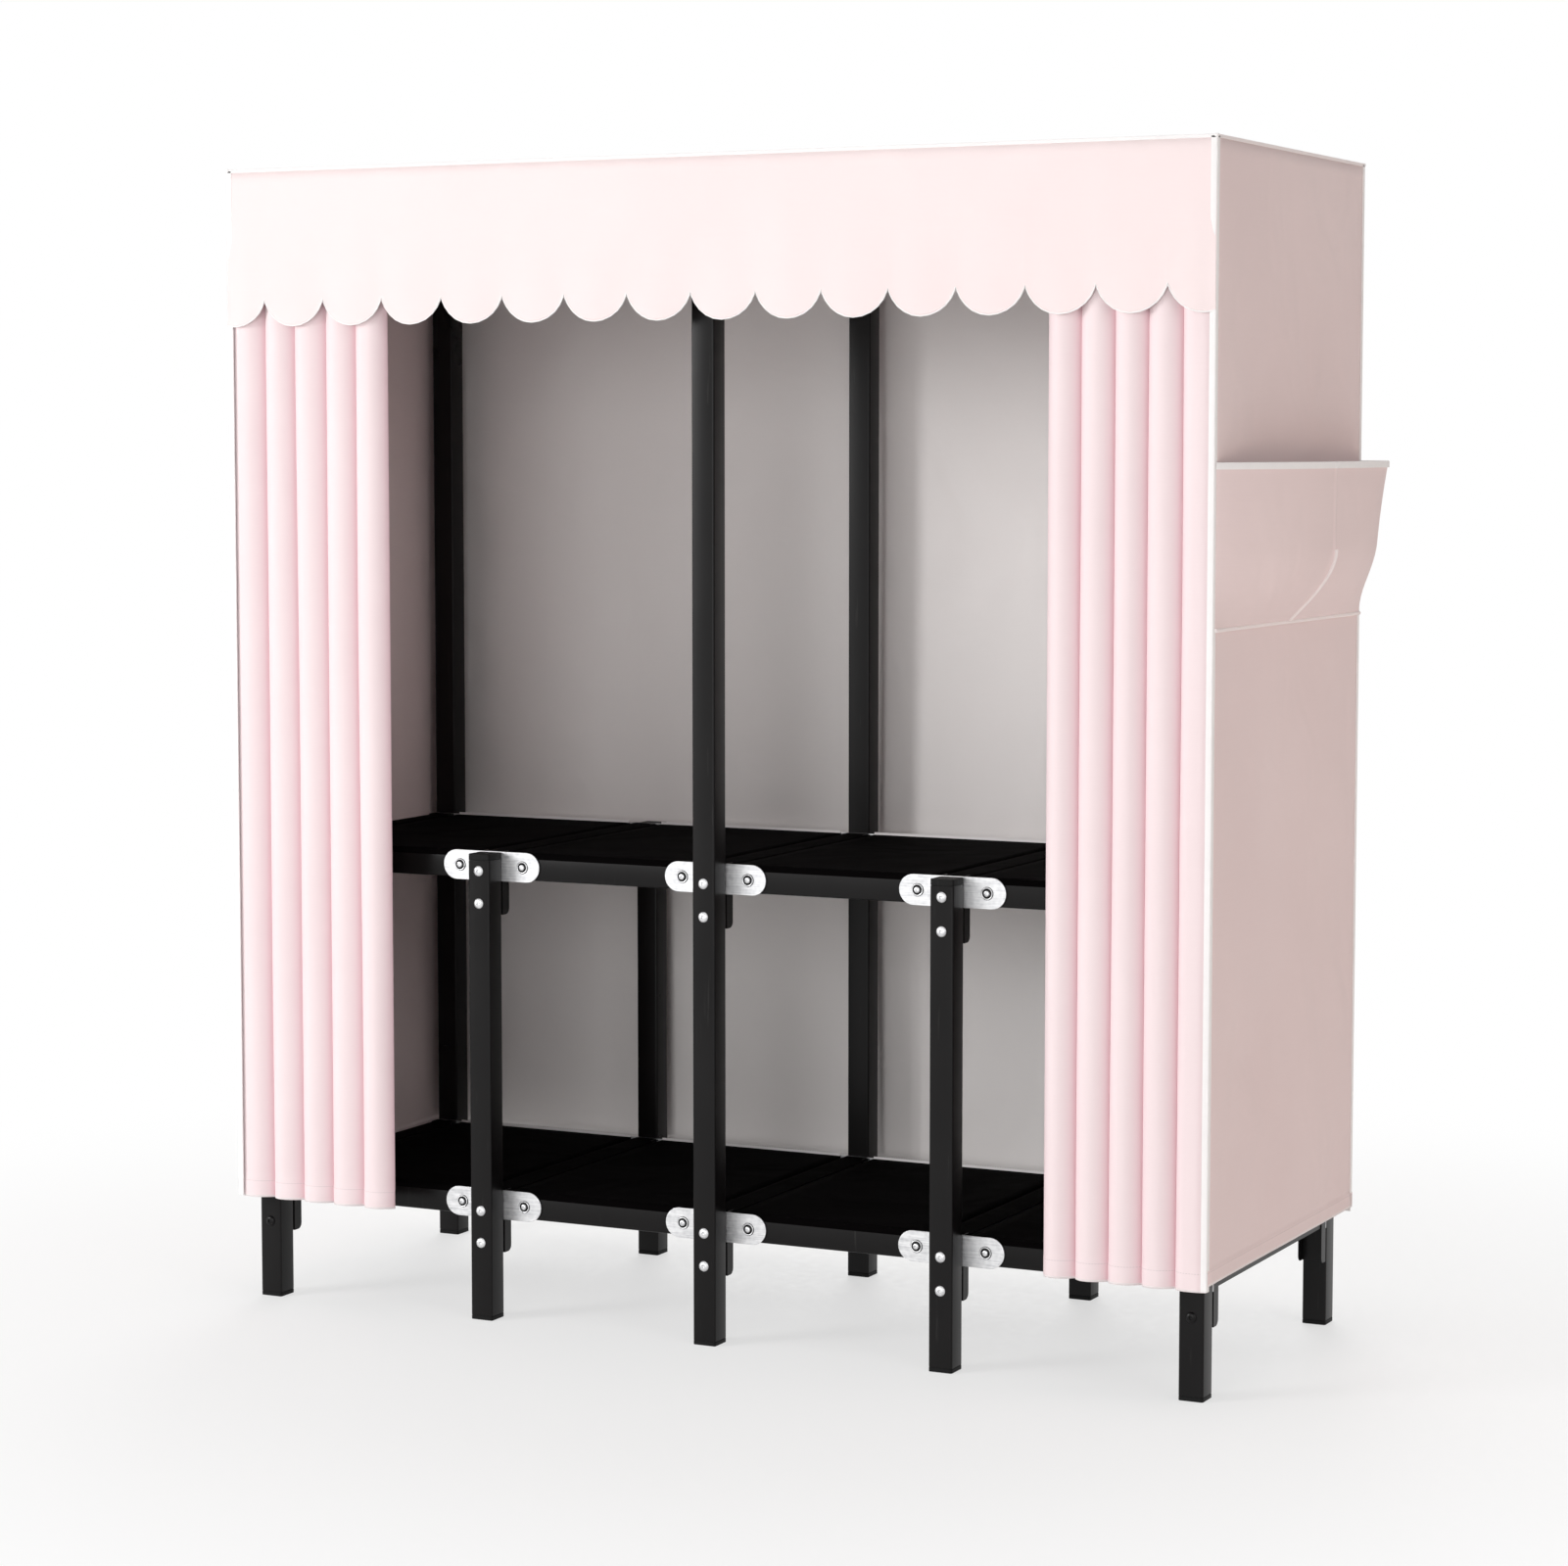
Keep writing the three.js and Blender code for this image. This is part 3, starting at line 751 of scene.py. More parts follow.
def piping(name, path, radius, material, sides=10):
    """A round piped seam along a path of points, closed at both ends."""
    section = arc((0, 0), radius, 0, 360, sides)[:-1]
    rings = []
    for here, along in zip(path, np.gradient(path, axis=0)):
        along = Vector(along).normalized()
        side = along.orthogonal() if abs(along.y) > 0.9 else along.cross(Vector((0, 1, 0)))
        side.normalize()
        rings.append([Vector(here) + a * side + b * along.cross(side) for a, b in section])
    return build(name, [loft(rings)], [material])


CORNER_ROUND = 0.0022
BINDING_OUT = 0.0007
BINDING_ROUND = 0.0003


def edge_binding(name, start, end, first, second, reach, material):
    """A folded tape over the edge where two panels meet: first and second point into the two panels."""
    middle, inner = CORNER_ROUND - BINDING_OUT, BINDING_OUT + CLOTH_THICKNESS
    bend = arc((middle, middle), CORNER_ROUND, -90, -180, 6)
    outer = [(reach, -BINDING_OUT), *bend, (-BINDING_OUT, reach)]
    fold = [*outer, (inner, reach), (inner, inner), (reach, inner)]
    outline = [p * np.array(first, float) + q * np.array(second, float) for p, q in fold]
    rings = [[base + point for point in outline] for base in (start, end)]
    return build(name, [loft(rings)], [material], BINDING_ROUND)


def swept_band(name, path, wide, up, down, material):
    """A tape folded over an open rim: the path runs along the rim, and the tape reaches down both faces."""
    section = [(-wide, -down), *arc((0, up - wide), wide, 180, 0, 6), (wide, -down)]
    rings = []
    for here, along in zip(path, np.gradient(path, axis=0)):
        out = np.array((along[1], -along[0], 0)) / math.hypot(along[0], along[1])
        rings.append([here + a * out + (0, 0, b) for a, b in section])
    return build(name, [loft(rings)], [material])


# %% [markdown]
# ## Finishes for the cloth
# All the cloth is plain woven. One function makes every colour of it: warp and weft as two sets of
# waves under a slight distortion, thin slubs that are a little darker or thicker, large soft blotches
# where the dye took unevenly, broad flat creases, and a little sheen from loose fibres at grazing angles.
# The curtains also take a painted shade deep in their folds, and the hems a painted highlight along their
# lower edge and a painted shade on their stitches.

# %% Cloth materials
THREAD_DEPTH = 0.00025
THREAD_WOBBLE = 0.0011
CREASE_DEPTH = 0.014
STITCH_PITCH = 0.0042
STITCH_SHARE = 0.62
STITCH_WIDTH = 0.00045
# The lowest few millimetres of a hem are painted paler: a painted highlight where the turned fold catches
# the light.
HEM_HIGHLIGHT_BAND = 0.003
HEM_HIGHLIGHT_COLOUR = (0.96, 0.92, 0.91, 1)


def split(tree, vector):
    return add(tree, "SeparateXYZ", {0: vector}, None).outputs


def threads(tree, coordinate, pitch):
    """One set of parallel threads: a rounded ridge every pitch."""
    turns = maths(tree, "MULTIPLY", coordinate, 2 * math.pi / pitch)
    return maths(tree, "MULTIPLY_ADD", maths(tree, "SINE", turns), 0.5, 0.5)


def hemmed(tree, lengths, colour, height, row, stitch_shade_colour):
    """Colour and height of cloth whose lower edge is turned up and stitched along the row. The fold at the
    lower edge gets a painted highlight, and the stitches a painted shade.
    """
    across, up, _ = split(tree, lengths)
    # Painted highlight along the fold at the hem's lower edge.
    hem_highlight = maths(tree, "LESS_THAN", up, HEM_HIGHLIGHT_BAND)
    colour = mixed(tree, maths(tree, "MULTIPLY", hem_highlight, 0.6), colour, HEM_HIGHLIGHT_COLOUR)
    line = maths(tree, "COMPARE", up, row, STITCH_WIDTH)
    turns = maths(tree, "FRACT", maths(tree, "DIVIDE", across, STITCH_PITCH))
    thread = maths(tree, "MULTIPLY", line, maths(tree, "LESS_THAN", turns, STITCH_SHARE))
    # The stitches are mixed towards a darker tone: painted shade along the stitch holes.
    colour = mixed(tree, maths(tree, "MULTIPLY", thread, 0.5), colour, stitch_shade_colour)
    return colour, maths(tree, "MULTIPLY_ADD", thread, 1.5, height)


def woven(
    name, pale, deep, pitch=0.0014, rough=(0.72, 0.9), sheen=0.2, grain=0.3, gloss=0.25, creases=0.6,
    row=None, valley=None,
):
    """Plain weave in a colour between deep and pale, with broad flat creases.

    A seam is stitched along the given row, and cloth that lies deep in a fold takes the valley colour, a
    painted shade."""
    material, tree, coat, places = new_material(name)
    lengths = add(tree, "UVMap", uv_map="cloth")
    wobble = clouds(tree, places, 55.0, 3.0, "Color")
    moved = add(tree, "VectorMath", {0: wobble, 3: THREAD_WOBBLE}, operation="SCALE")
    across, up, _ = split(tree, add(tree, "VectorMath", {0: lengths, 1: moved}, operation="ADD"))
    weave = maths(tree, "MAXIMUM", threads(tree, across, pitch), threads(tree, up, pitch * 1.1))
    slubs = clouds(tree, stretched(tree, lengths, (9.0, 700.0, 1.0)), 1.0, 3.0)
    blotch = clouds(tree, places, 3.2, 4.0)
    shares = ((blotch, 0.55), (slubs, 0.15), (weave, 0.18))
    tone = sum_of(tree, *[maths(tree, "MULTIPLY", *share) for share in shares])
    colour = ramp(tree, tone, (0.25, deep), (0.75, pale))
    height = maths(tree, "MULTIPLY_ADD", slubs, 0.4, weave)
    # Cloth deep in a curtain fold is mixed towards the valley colour: a painted shade in the folds.
    if valley:
        depth = split(tree, add(tree, "UVMap", uv_map="folds"))[0]
        colour = mixed(tree, depth, colour, (*valley, 1))
    if row:
        # Stitch thread darker than the cloth: a painted shade on the stitches.
        stitch_shade_colour = (*(part * 0.6 for part in deep), 1)
        colour, height = hemmed(tree, lengths, colour, height, row, stitch_shade_colour)
    pressed = clouds(tree, places, 6.0, 2.0, Roughness=0.4, Distortion=0.8)
    broad = bump(tree, pressed, creases, CREASE_DEPTH)
    settings = {
        "Base Color": colour,
        "Roughness": ramp(tree, tone, (0.2, rough[1]), (0.8, rough[0])),
        "Sheen Weight": sheen,
        "Sheen Roughness": 0.45,
        "Specular IOR Level": gloss,
        "Normal": bump(tree, height, grain, THREAD_DEPTH, Normal=broad),
    }
    plug(tree, coat, settings)
    return material


HEM_ROW = 0.019
# The cover cloth is darker and pinker than the valance cloth, though it is the same fabric: a painted shade
# for the side panels, which stand in half shade. The roof and the pocket share it.
cover_cloth = woven("cover_cloth", (0.87, 0.725, 0.715), (0.81, 0.655, 0.645), row=HEM_ROW)
back_cloth = woven("back_cloth", (0.92, 0.885, 0.87), (0.87, 0.83, 0.815), row=HEM_ROW)
valance_cloth = woven("valance_cloth", (0.93, 0.805, 0.8), (0.89, 0.755, 0.75), grain=0.22, creases=0.35)
# Its valley colour is a painted shade deep in the curtain's folds.
curtain_cloth = woven(
    "curtain_cloth", (0.915, 0.785, 0.793), (0.875, 0.73, 0.743), rough=(0.55, 0.75), sheen=0.25,
    creases=0.25, row=0.025, valley=(0.8, 0.545, 0.59),
)
shelf_cloth = woven(
    "shelf_cloth", (0.0024, 0.0019, 0.002), (0.001, 0.0008, 0.0009), 0.0018, (0.9, 0.98), sheen=0, gloss=0.02
)
tape_cloth = woven("tape_cloth", (0.95, 0.93, 0.925), (0.9, 0.875, 0.87), pitch=0.001)
cloths = (cover_cloth, back_cloth, valance_cloth, curtain_cloth, shelf_cloth, tape_cloth)
print("cloth finishes", [cloth.name for cloth in cloths])

# %% [markdown]
# ## Shelf cloths
# A black cloth is stretched over each shelf frame. It is tight at the rails and sinks a little in the
# middle. Its edges are turned over the rails, and a pale tape is sewn along its rear edge. A strip of the
# same black cloth lies over each rung and closes the gap between two shelves: a dark sheet that paints
# the shade where the floor would show through.

# %% Shelf cloths
SHELF_SAG = 0.0022
SHELF_LIP = 0.008
SHELF_GRID = (0.014, 0.016)
LIP_OUT = 0.0006
SHELF_WAVE = 0.0006
TAPE_HEIGHT = 0.0045
TAPE_THICKNESS = 0.0012
TAPE_SUNK = 0.001
TAPE_ROUND = 0.0004


def shelf_cloth_piece(level, bay):
    node = f"{level}_shelf_cloth_{bay}"
    body = f"{bay_names[bay]}_{level}_shelf"
    low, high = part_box(node)
    wide, deep = high.x - low.x, high.y - low.y
    top = high.z - CLOTH_THICKNESS / 2
    us, vs = (
        np.concatenate([[-SHELF_LIP], spread(0, length, step), [length + SHELF_LIP]])
        for length, step in zip((wide, deep), SHELF_GRID)
    )

    def place(u, v):
        across, along = min(max(u, 0), wide), min(max(v, 0), deep)
        hollow = (math.sin(math.pi * across / wide) * math.sin(math.pi * along / deep)) ** 0.6
        turned_down = max(abs(u - across), abs(v - along))
        lift = SHELF_WAVE * wave(u, v, 3 + bay)
        return (
            low.x + across + math.copysign(LIP_OUT, u - wide / 2) * (u != across),
            low.y + along + math.copysign(LIP_OUT, v - deep / 2) * (v != along),
            top - turned_down + (lift - SHELF_SAG) * hollow,
        )

    cloth = cloth_grid(f"{node}_sheet", us, vs, place, shelf_cloth)
    hand_over(cloth, body, "shelf_cloth", node)
    foot = high.z - TAPE_SUNK
    strip = block((low.x, high.x), (high.y - TAPE_THICKNESS, high.y), (foot, foot + TAPE_HEIGHT))
    tape = fit(f"{level}_shelf_tape_{bay}", [strip], [tape_cloth], body, "cover_cloth", edge=TAPE_ROUND)


STRIP_HALF = 0.0215
STRIP_SAG = 0.0006
STRIP_WAVE = 0.0003
STRIP_GRID = (0.004, 0.016)


# A black sheet over the gap at the rung: a painted shade where the floor would show through.
def rung_shade_strip(level, k):
    low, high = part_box(f"{level}_shelf_cloth_0")
    narrow = post_width / 2 if k in END_COLUMNS else STRIP_HALF
    deep = high.y - low.y
    rung_top = levels[level] + RUNG_HEIGHT / 2 + GAP

    def place(u, v):
        off = abs(u - narrow) / narrow
        sag = STRIP_SAG * off**4 + STRIP_WAVE * wave(u, v, 17 + k)
        return (column_x[k] + u - narrow, low.y + v, rung_top + CLOTH_THICKNESS - sag)

    us, vs = spread(0, 2 * narrow, STRIP_GRID[0]), spread(0, deep, STRIP_GRID[1])
    strip = cloth_grid(f"{level}_rung_shade_strip_{k}", us, vs, place, shelf_cloth)
    hand_over(strip, frame_bodies[k], "shelf_cloth")


for level in ("low", "mid"):
    for bay in BAYS:
        shelf_cloth_piece(level, bay)
    for k in COLUMNS:
        rung_shade_strip(level, k)
print("shelf cloths", 2 * len(BAYS), "rung strips", 2 * len(COLUMNS))

# %% [markdown]
# ## The cover: sides, back and roof
# The panels meet in bound seams at the corners. They are pinned there, and between the seams they move
# in and out by a few millimetres. Each lower edge is turned up into a hem with a row of stitches.

# %% Panel shapes
SEAM_MARGIN = 0.09
HEM_HEIGHT = 0.022
HEM_STEP = 0.0009
HEM_FOLD = 0.003
HEM_EDGE = 0.0006
HEM_FREEDOM = 0.35
HEM_REACH = 0.3
WAVE_DEPTH = 0.0042
PULL_DEPTH = 0.0016
PULL_TURN = 14
PULL_FADE = 5
PULL_MARGIN = 0.06
SIDE_HEM_LIFT = 0.007
PANEL_GRID = 0.02

left_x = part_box("left_side_panel")[0].x
right_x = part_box("right_side_panel")[1].x
SIDES = {"left": (-1, left_x, "left_end_frame"), "right": (1, right_x, "right_end_frame")}
roof_low, roof_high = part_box("roof_panel")
back_low, back_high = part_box("back_panel")
cover_front, cover_back, cover_top = roof_low.y, roof_high.y, roof_high.z
hem_z, panel_top = back_low.z, back_high.z
cover_depth = cover_back - cover_front
panel_height = panel_top - hem_z
side_hem_z = hem_z + SIDE_HEM_LIFT


def pinned(distance, margin=SEAM_MARGIN):
    """0 at a seam, rising smoothly to 1 a margin away from it."""
    share = min(1.0, max(0.0, distance / margin))
    return share * share * (3 - 2 * share)


def free_share(u, wide, v):
    """0 at the seams of a panel, 1 well inside it, and less above its hem."""
    above_hem = HEM_FREEDOM + (1 - HEM_FREEDOM) * pinned(v, HEM_REACH)
    return pinned(u) * pinned(wide - u) * pinned(panel_height - v) * above_hem


def hem_rise(v):
    """How far the doubled cloth of the hem stands out at the height v above the edge."""
    return HEM_STEP if v < HEM_HEIGHT else 0.0


def panel_steps(height):
    """Heights along a panel, with two close rows at the top of the hem so that it ends in a step."""
    hem = [0.0, HEM_FOLD, HEM_HEIGHT - HEM_FOLD, HEM_HEIGHT - HEM_EDGE, HEM_HEIGHT + HEM_EDGE]
    return np.concatenate([hem, spread(HEM_HEIGHT + 2 * HEM_FOLD, height, PANEL_GRID)])


def side_bulge(y, z, side):
    """How far a side panel stands out from its plane at (y, z): soft waves, and pulls below the roof."""
    u, v = y - cover_front, z - hem_z
    below = panel_height - v
    pull = PULL_DEPTH * math.sin(PULL_TURN * (u + v)) * math.exp(-PULL_FADE * below)
    pull = pull * pinned(u) * pinned(cover_depth - u) * pinned(below, PULL_MARGIN)
    return WAVE_DEPTH * wave(u, v, 11 * side) * free_share(u, cover_depth, v) + pull


# %% Side panels
def side_panel(word):
    side, x, body = SIDES[word]
    name = f"{word}_side_panel"
    low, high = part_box(name)

    def place(u, v):
        y, z = low.y + u, side_hem_z + v
        return (x + side * (side_bulge(y, z, side) + hem_rise(v) - CLOTH_THICKNESS / 2), y, z)

    us = spread(0, high.y - low.y, 0.018)
    panel = cloth_grid(f"{name}_sheet", us, panel_steps(panel_top - side_hem_z), place, cover_cloth)
    return hand_over(panel, body, "cover_cloth", name)


side_panels = {word: side_panel(word) for word in SIDES}
print("side panels", round(cover_depth, 4), "x", round(panel_top - side_hem_z, 4))


# %% Back panel
def back_place(u, v):
    across = back_low.x + u - left_x
    bulge = WAVE_DEPTH * wave(across, v, 31, size=0.42) * free_share(across, right_x - left_x, v)
    return (back_low.x + u, back_high.y - CLOTH_THICKNESS / 2 + bulge + hem_rise(v), hem_z + v)


back_us = spread(0, back_high.x - back_low.x, PANEL_GRID)
back = cloth_grid("back_panel_sheet", back_us, panel_steps(panel_height), back_place, back_cloth)
print("back panel", round(back_high.x - back_low.x, 4), "x", round(panel_height, 4))

# %% Roof
ROOF_SAG = 0.004
ROOF_WAVE = 0.0012
ROOF_MARGINS = (0.25, 0.07)
POST_CLEAR = 0.06


def roof_place(u, v):
    """The roof lies tight over the tall posts and sinks a little between them."""
    x = roof_low.x + u
    near = min(abs(x - column_x[k]) for k in TALL) - POST_CLEAR
    ends = pinned(v, ROOF_MARGINS[1]) * pinned(cover_depth - v, ROOF_MARGINS[1])
    free = ends * pinned(near, ROOF_MARGINS[0])
    sag = (ROOF_SAG + ROOF_WAVE * wave(u, v, 51)) * free
    return (x, roof_low.y + v, roof_high.z - CLOTH_THICKNESS / 2 - sag)


roof_us, roof_vs = spread(0, roof_high.x - roof_low.x, PANEL_GRID), spread(0, cover_depth, PANEL_GRID)
roof_sheet = cloth_grid("roof_panel_sheet", roof_us, roof_vs, roof_place, cover_cloth)
print("cover", round(right_x - left_x, 4), "x", round(cover_depth, 4), "x", round(panel_height, 4))

# %% [markdown]
# ## The valance
# The valance hangs from the front edge of the roof. Its lower edge is a row of round scallops, bound with
# a narrow rolled edge. The grid follows the scallops: each column of points runs from the roof down to
# the edge, so the edge is smooth and no cloth has to be cut away.

# %% Valance
SCALLOP_PITCH = 0.1016
SCALLOP_DEPTH = 0.039
SCALLOP_STEPS = 12
ROLLED_RADIUS = 0.0011
VALANCE_LIFT = 0.0012
FLARE = 0.0035
VALANCE_WAVE = 0.0022
VALANCE_MARGIN = 0.04

valance_low, valance_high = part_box("front_valance")
scallop_half = SCALLOP_PITCH / 2
scallop_radius = (scallop_half**2 + SCALLOP_DEPTH**2) / (2 * SCALLOP_DEPTH)


def scallop_edge(x):
    """Height of the lower edge at x: a circle through two cusps, repeated from the middle outwards."""
    across = (x - middle_x) % SCALLOP_PITCH - scallop_half
    return valance_low.z + scallop_radius - math.sqrt(scallop_radius**2 - across**2)


def places_across():
    """Places across the valance: close together near the cusps, and one on every cusp."""
    first = math.ceil((valance_low.x - middle_x) / SCALLOP_PITCH)
    last = math.floor((valance_high.x - middle_x) / SCALLOP_PITCH)
    cusps = [middle_x + k * SCALLOP_PITCH for k in range(first, last + 1)]
    stops = [valance_low.x, *cusps, valance_high.x]
    shares = 0.5 - 0.5 * np.cos(np.linspace(0, math.pi, SCALLOP_STEPS + 1))
    return [a + (b - a) * s for a, b in zip(stops, stops[1:]) for s in shares[:-1]] + [valance_high.x]


def valance_out(x, share):
    """How far the valance stands out in front, more towards its free lower edge."""
    flare = FLARE * share**2 * (0.5 - 0.5 * math.cos(2 * math.pi * (x - middle_x) / SCALLOP_PITCH))
    soft = VALANCE_WAVE * max(0.0, 1 + wave(x, 0.3 * share, 71, size=0.3)) * share
    ends = pinned(x - valance_low.x, VALANCE_MARGIN) * pinned(valance_high.x - x, VALANCE_MARGIN)
    return VALANCE_LIFT * share + (flare + soft) * ends


def valance_place(x, share):
    edge = scallop_edge(min(max(x, valance_low.x + 1e-6), valance_high.x - 1e-6))
    z = valance_high.z + (edge - valance_high.z) * share
    return (x, valance_low.y + CLOTH_THICKNESS / 2 - valance_out(x, share), z)


def valance_chart(point):
    return (point[0] - valance_low.x, valance_high.z - point[2])


valance_xs = places_across()
shares = np.concatenate([np.linspace(0, 0.9, 12), [0.95, 0.985, 1.0]])
valance = cloth_grid("front_valance_sheet", valance_xs, shares, valance_place, valance_cloth, valance_chart)
rolled_path = [valance_place(x, 1.0) for x in valance_xs]
valance_binding = piping("valance_binding", rolled_path, ROLLED_RADIUS, tape_cloth, sides=8)
print("valance", round(valance_high.x - valance_low.x, 4), "x", round(valance_high.z - valance_low.z, 4))

# %% [markdown]
# ## What shortens when the wardrobe folds
# Roof, back, valance and wire reach from one end of the wardrobe to the other. As the frame folds they
# crumple towards the middle. Here each rides on the centre frame with a mesh of its own, and the share that
# would be left, the folded width over the open width, is worked out.

# %% Fold share
FOLD_ANGLE = math.radians(next(j for j in frame["joints"] if j["name"] == "fold")["range_deg"][1])

pin_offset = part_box("low_shelf_frame_2")[0].x + RIVET_INSET - column_x[2]
link = column_x[3] - column_x[2] - 2 * pin_offset
folded_pitch = 2 * pin_offset + link * math.cos(FOLD_ANGLE)
side_reach = right_x - column_x[4]


def folded_share(inset=0.0):
    """What is left of the width of a piece whose ends lie an inset inside the cover."""
    return (2 * folded_pitch + side_reach - inset) / (right_x - middle_x - inset)


def shortens(piece, slot, *nodes, inset=0.0):
    hand_over(piece, "centre_frame", slot, *nodes)
    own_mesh(piece)


shortens(roof_sheet, "cover_cloth", "roof_panel")
shortens(back, "cover_cloth", "back_panel", inset=right_x - back_high.x)
shortens(valance, "valance_cloth", "front_valance")
shortens(valance_binding, "valance_cloth")
print("folded share", round(folded_share(), 4))

# %% Bound edges of the cover
BINDING_REACH = 0.0085
ROOF_REACH = 0.0045
KNOT_INSET = 0.0016
KNOT_DROP = 0.0012
KNOT_PROFILE = [
    (0.0, -0.0034), (0.0021, -0.0029), (0.0031, -0.0016), (0.0034, 0.0), (0.0031, 0.0014), (0.0018, 0.0023),
    (0.0, 0.0026),
]
KNOT_STEPS = 16
DOWN = (0, 0, -1)
CORNER_ROWS = (("front", cover_front, 1, hem_z), ("rear", cover_back, -1, side_hem_z))

for word, (side, x, body) in SIDES.items():
    sideways = (-side, 0, 0)
    for row, y, inward, foot in CORNER_ROWS:
        ends = (x, y, foot), (x, y, panel_top)
        tape = edge_binding(f"{word}_{row}_edge", *ends, sideways, (0, inward, 0), BINDING_REACH, tape_cloth)
        hand_over(tape, body, "cover_cloth")
    ends = (x, cover_front, cover_top), (x, cover_back, cover_top)
    tape = edge_binding(f"{word}_roof_edge", *ends, sideways, DOWN, ROOF_REACH, cover_cloth)
    hand_over(tape, body, "cover_cloth")

for row, y, inward, _ in CORNER_ROWS:
    ends = (left_x - BINDING_OUT, y, cover_top), (right_x + BINDING_OUT, y, cover_top)
    tape = edge_binding(f"{row}_roof_edge", *ends, (0, inward, 0), DOWN, ROOF_REACH, tape_cloth)
    shortens(tape, "cover_cloth")

for word, (side, x, body) in SIDES.items():
    for row, y, inward, _ in CORNER_ROWS:
        place = (x - side * KNOT_INSET, y + inward * KNOT_INSET, cover_top - KNOT_DROP)
        knot = turned(KNOT_PROFILE, KNOT_STEPS, "z", place)
        fit(f"{word}_{row}_corner_knot", [knot], [tape_cloth], body, "cover_cloth")
print("bound edges", 8, "corner knots", 4)

# %% [markdown]
# ## The side pocket
# The pocket is one piece of cloth sewn to the right side panel along its foot and its two upright edges.
# Its rim stands open. It rises slowly from the front and turns sharply back at the rear. A pressed fold
# runs down the middle and becomes a raised seam in the lower half. A tape binds the rim.

# %% Pocket
POCKET_BULGE = 0.068
POCKET_FRONT = 0.42
POCKET_REAR = (0.45, 0.83)
POCKET_FULL_BELOW = 0.48
POCKET_DENTS = 0.0016
POCKET_SEAM = 0.003
CREASE = 0.48
CREASE_HEIGHT = 0.0035
CREASE_WIDTH = 0.005
CREASE_END = 0.46
RIM_TAPE = (0.0015, 0.0015, 0.008)

pocket_low, pocket_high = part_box("side_pocket")
pocket_deep = pocket_high.y - pocket_low.y
pocket_tall = pocket_high.z - pocket_low.z


def pocket_out(u, v):
    """How far the pocket stands off the panel: u runs from front to back and v from foot to rim, 0 to 1."""
    front = math.sin(min(1.0, u / POCKET_FRONT) * math.pi / 2) ** 0.8
    corner = POCKET_REAR[0] + (POCKET_REAR[1] - POCKET_REAR[0]) * v
    past = max(0.0, (u - corner) / (1 - corner))
    full = math.sin(min(1.0, v / POCKET_FULL_BELOW) * math.pi / 2)
    near = (u - CREASE) * pocket_deep / CREASE_WIDTH
    fold = CREASE_HEIGHT * math.exp(-near * near) * (0.4 + 0.6 * pinned(0.6 - v, 0.2))
    dents = POCKET_DENTS * wave(u * pocket_deep, v * pocket_tall, 91, size=0.16) * pinned(1 - u, 0.1)
    return full * (POCKET_BULGE * front * math.sqrt(max(0.0, 1 - past * past)) + fold + dents)


def pocket_place(u, v):
    y = pocket_low.y + u * pocket_deep
    z = pocket_low.z + v * pocket_tall
    return (pocket_low.x + CLOTH_THICKNESS / 2 + side_bulge(y, z, 1) + pocket_out(u, v), y, z)


def pocket_chart(point):
    return point[1:]


even = 0.5 - 0.5 * np.cos(np.linspace(0, math.pi, 141))
pocket_us = np.unique(np.concatenate([even, CREASE + np.linspace(-0.025, 0.025, 27)]))
pocket_vs = np.concatenate([np.linspace(0, 0.12, 9), np.linspace(0.14, 1, 44)])
pocket = cloth_grid(
    "side_pocket_sheet", pocket_us, pocket_vs, pocket_place, cover_cloth, pocket_chart, offset=-1
)
hand_over(pocket, "right_end_frame", "cover_cloth", "side_pocket")
rim_path = [pocket_place(u, 1.0) for u in pocket_us]
foot_path = [pocket_place(u, 0.004) for u in np.linspace(0, 1, 40)]
ridge_path = [pocket_place(CREASE, v) for v in np.linspace(0.02, CREASE_END, 30)]
pocket_trims = [
    swept_band("side_pocket_rim", rim_path, *RIM_TAPE, tape_cloth),
    piping("side_pocket_foot_seam", foot_path, POCKET_SEAM, cover_cloth),
    piping("side_pocket_middle_seam", ridge_path, POCKET_SEAM, cover_cloth),
]
for trim in pocket_trims:
    hand_over(trim, "right_end_frame", "cover_cloth")
print("pocket", round(pocket_deep, 4), "x", round(pocket_tall, 4))

# %% [markdown]
# ## Curtains
# Each curtain is about 2.7 times as wide as the space that it takes when it is gathered. It hangs in
# round ribs, and the rest of the cloth lies in flat folds behind the valleys between them. The section is
# drawn once as a path of points, and its true length becomes the map that the weave follows. Then it is
# carried down from the wire to the hem, with ribs that wander a little and swell towards the hem.

# %% Curtain section
RIBS = 5
RIB_STEPS = 16
RIB_LEAN = 0.78
OUTER_FALL = 0.3
TUCK_SHARE = 0.78
TUCK_STEPS = 4
LAYER = 0.0032


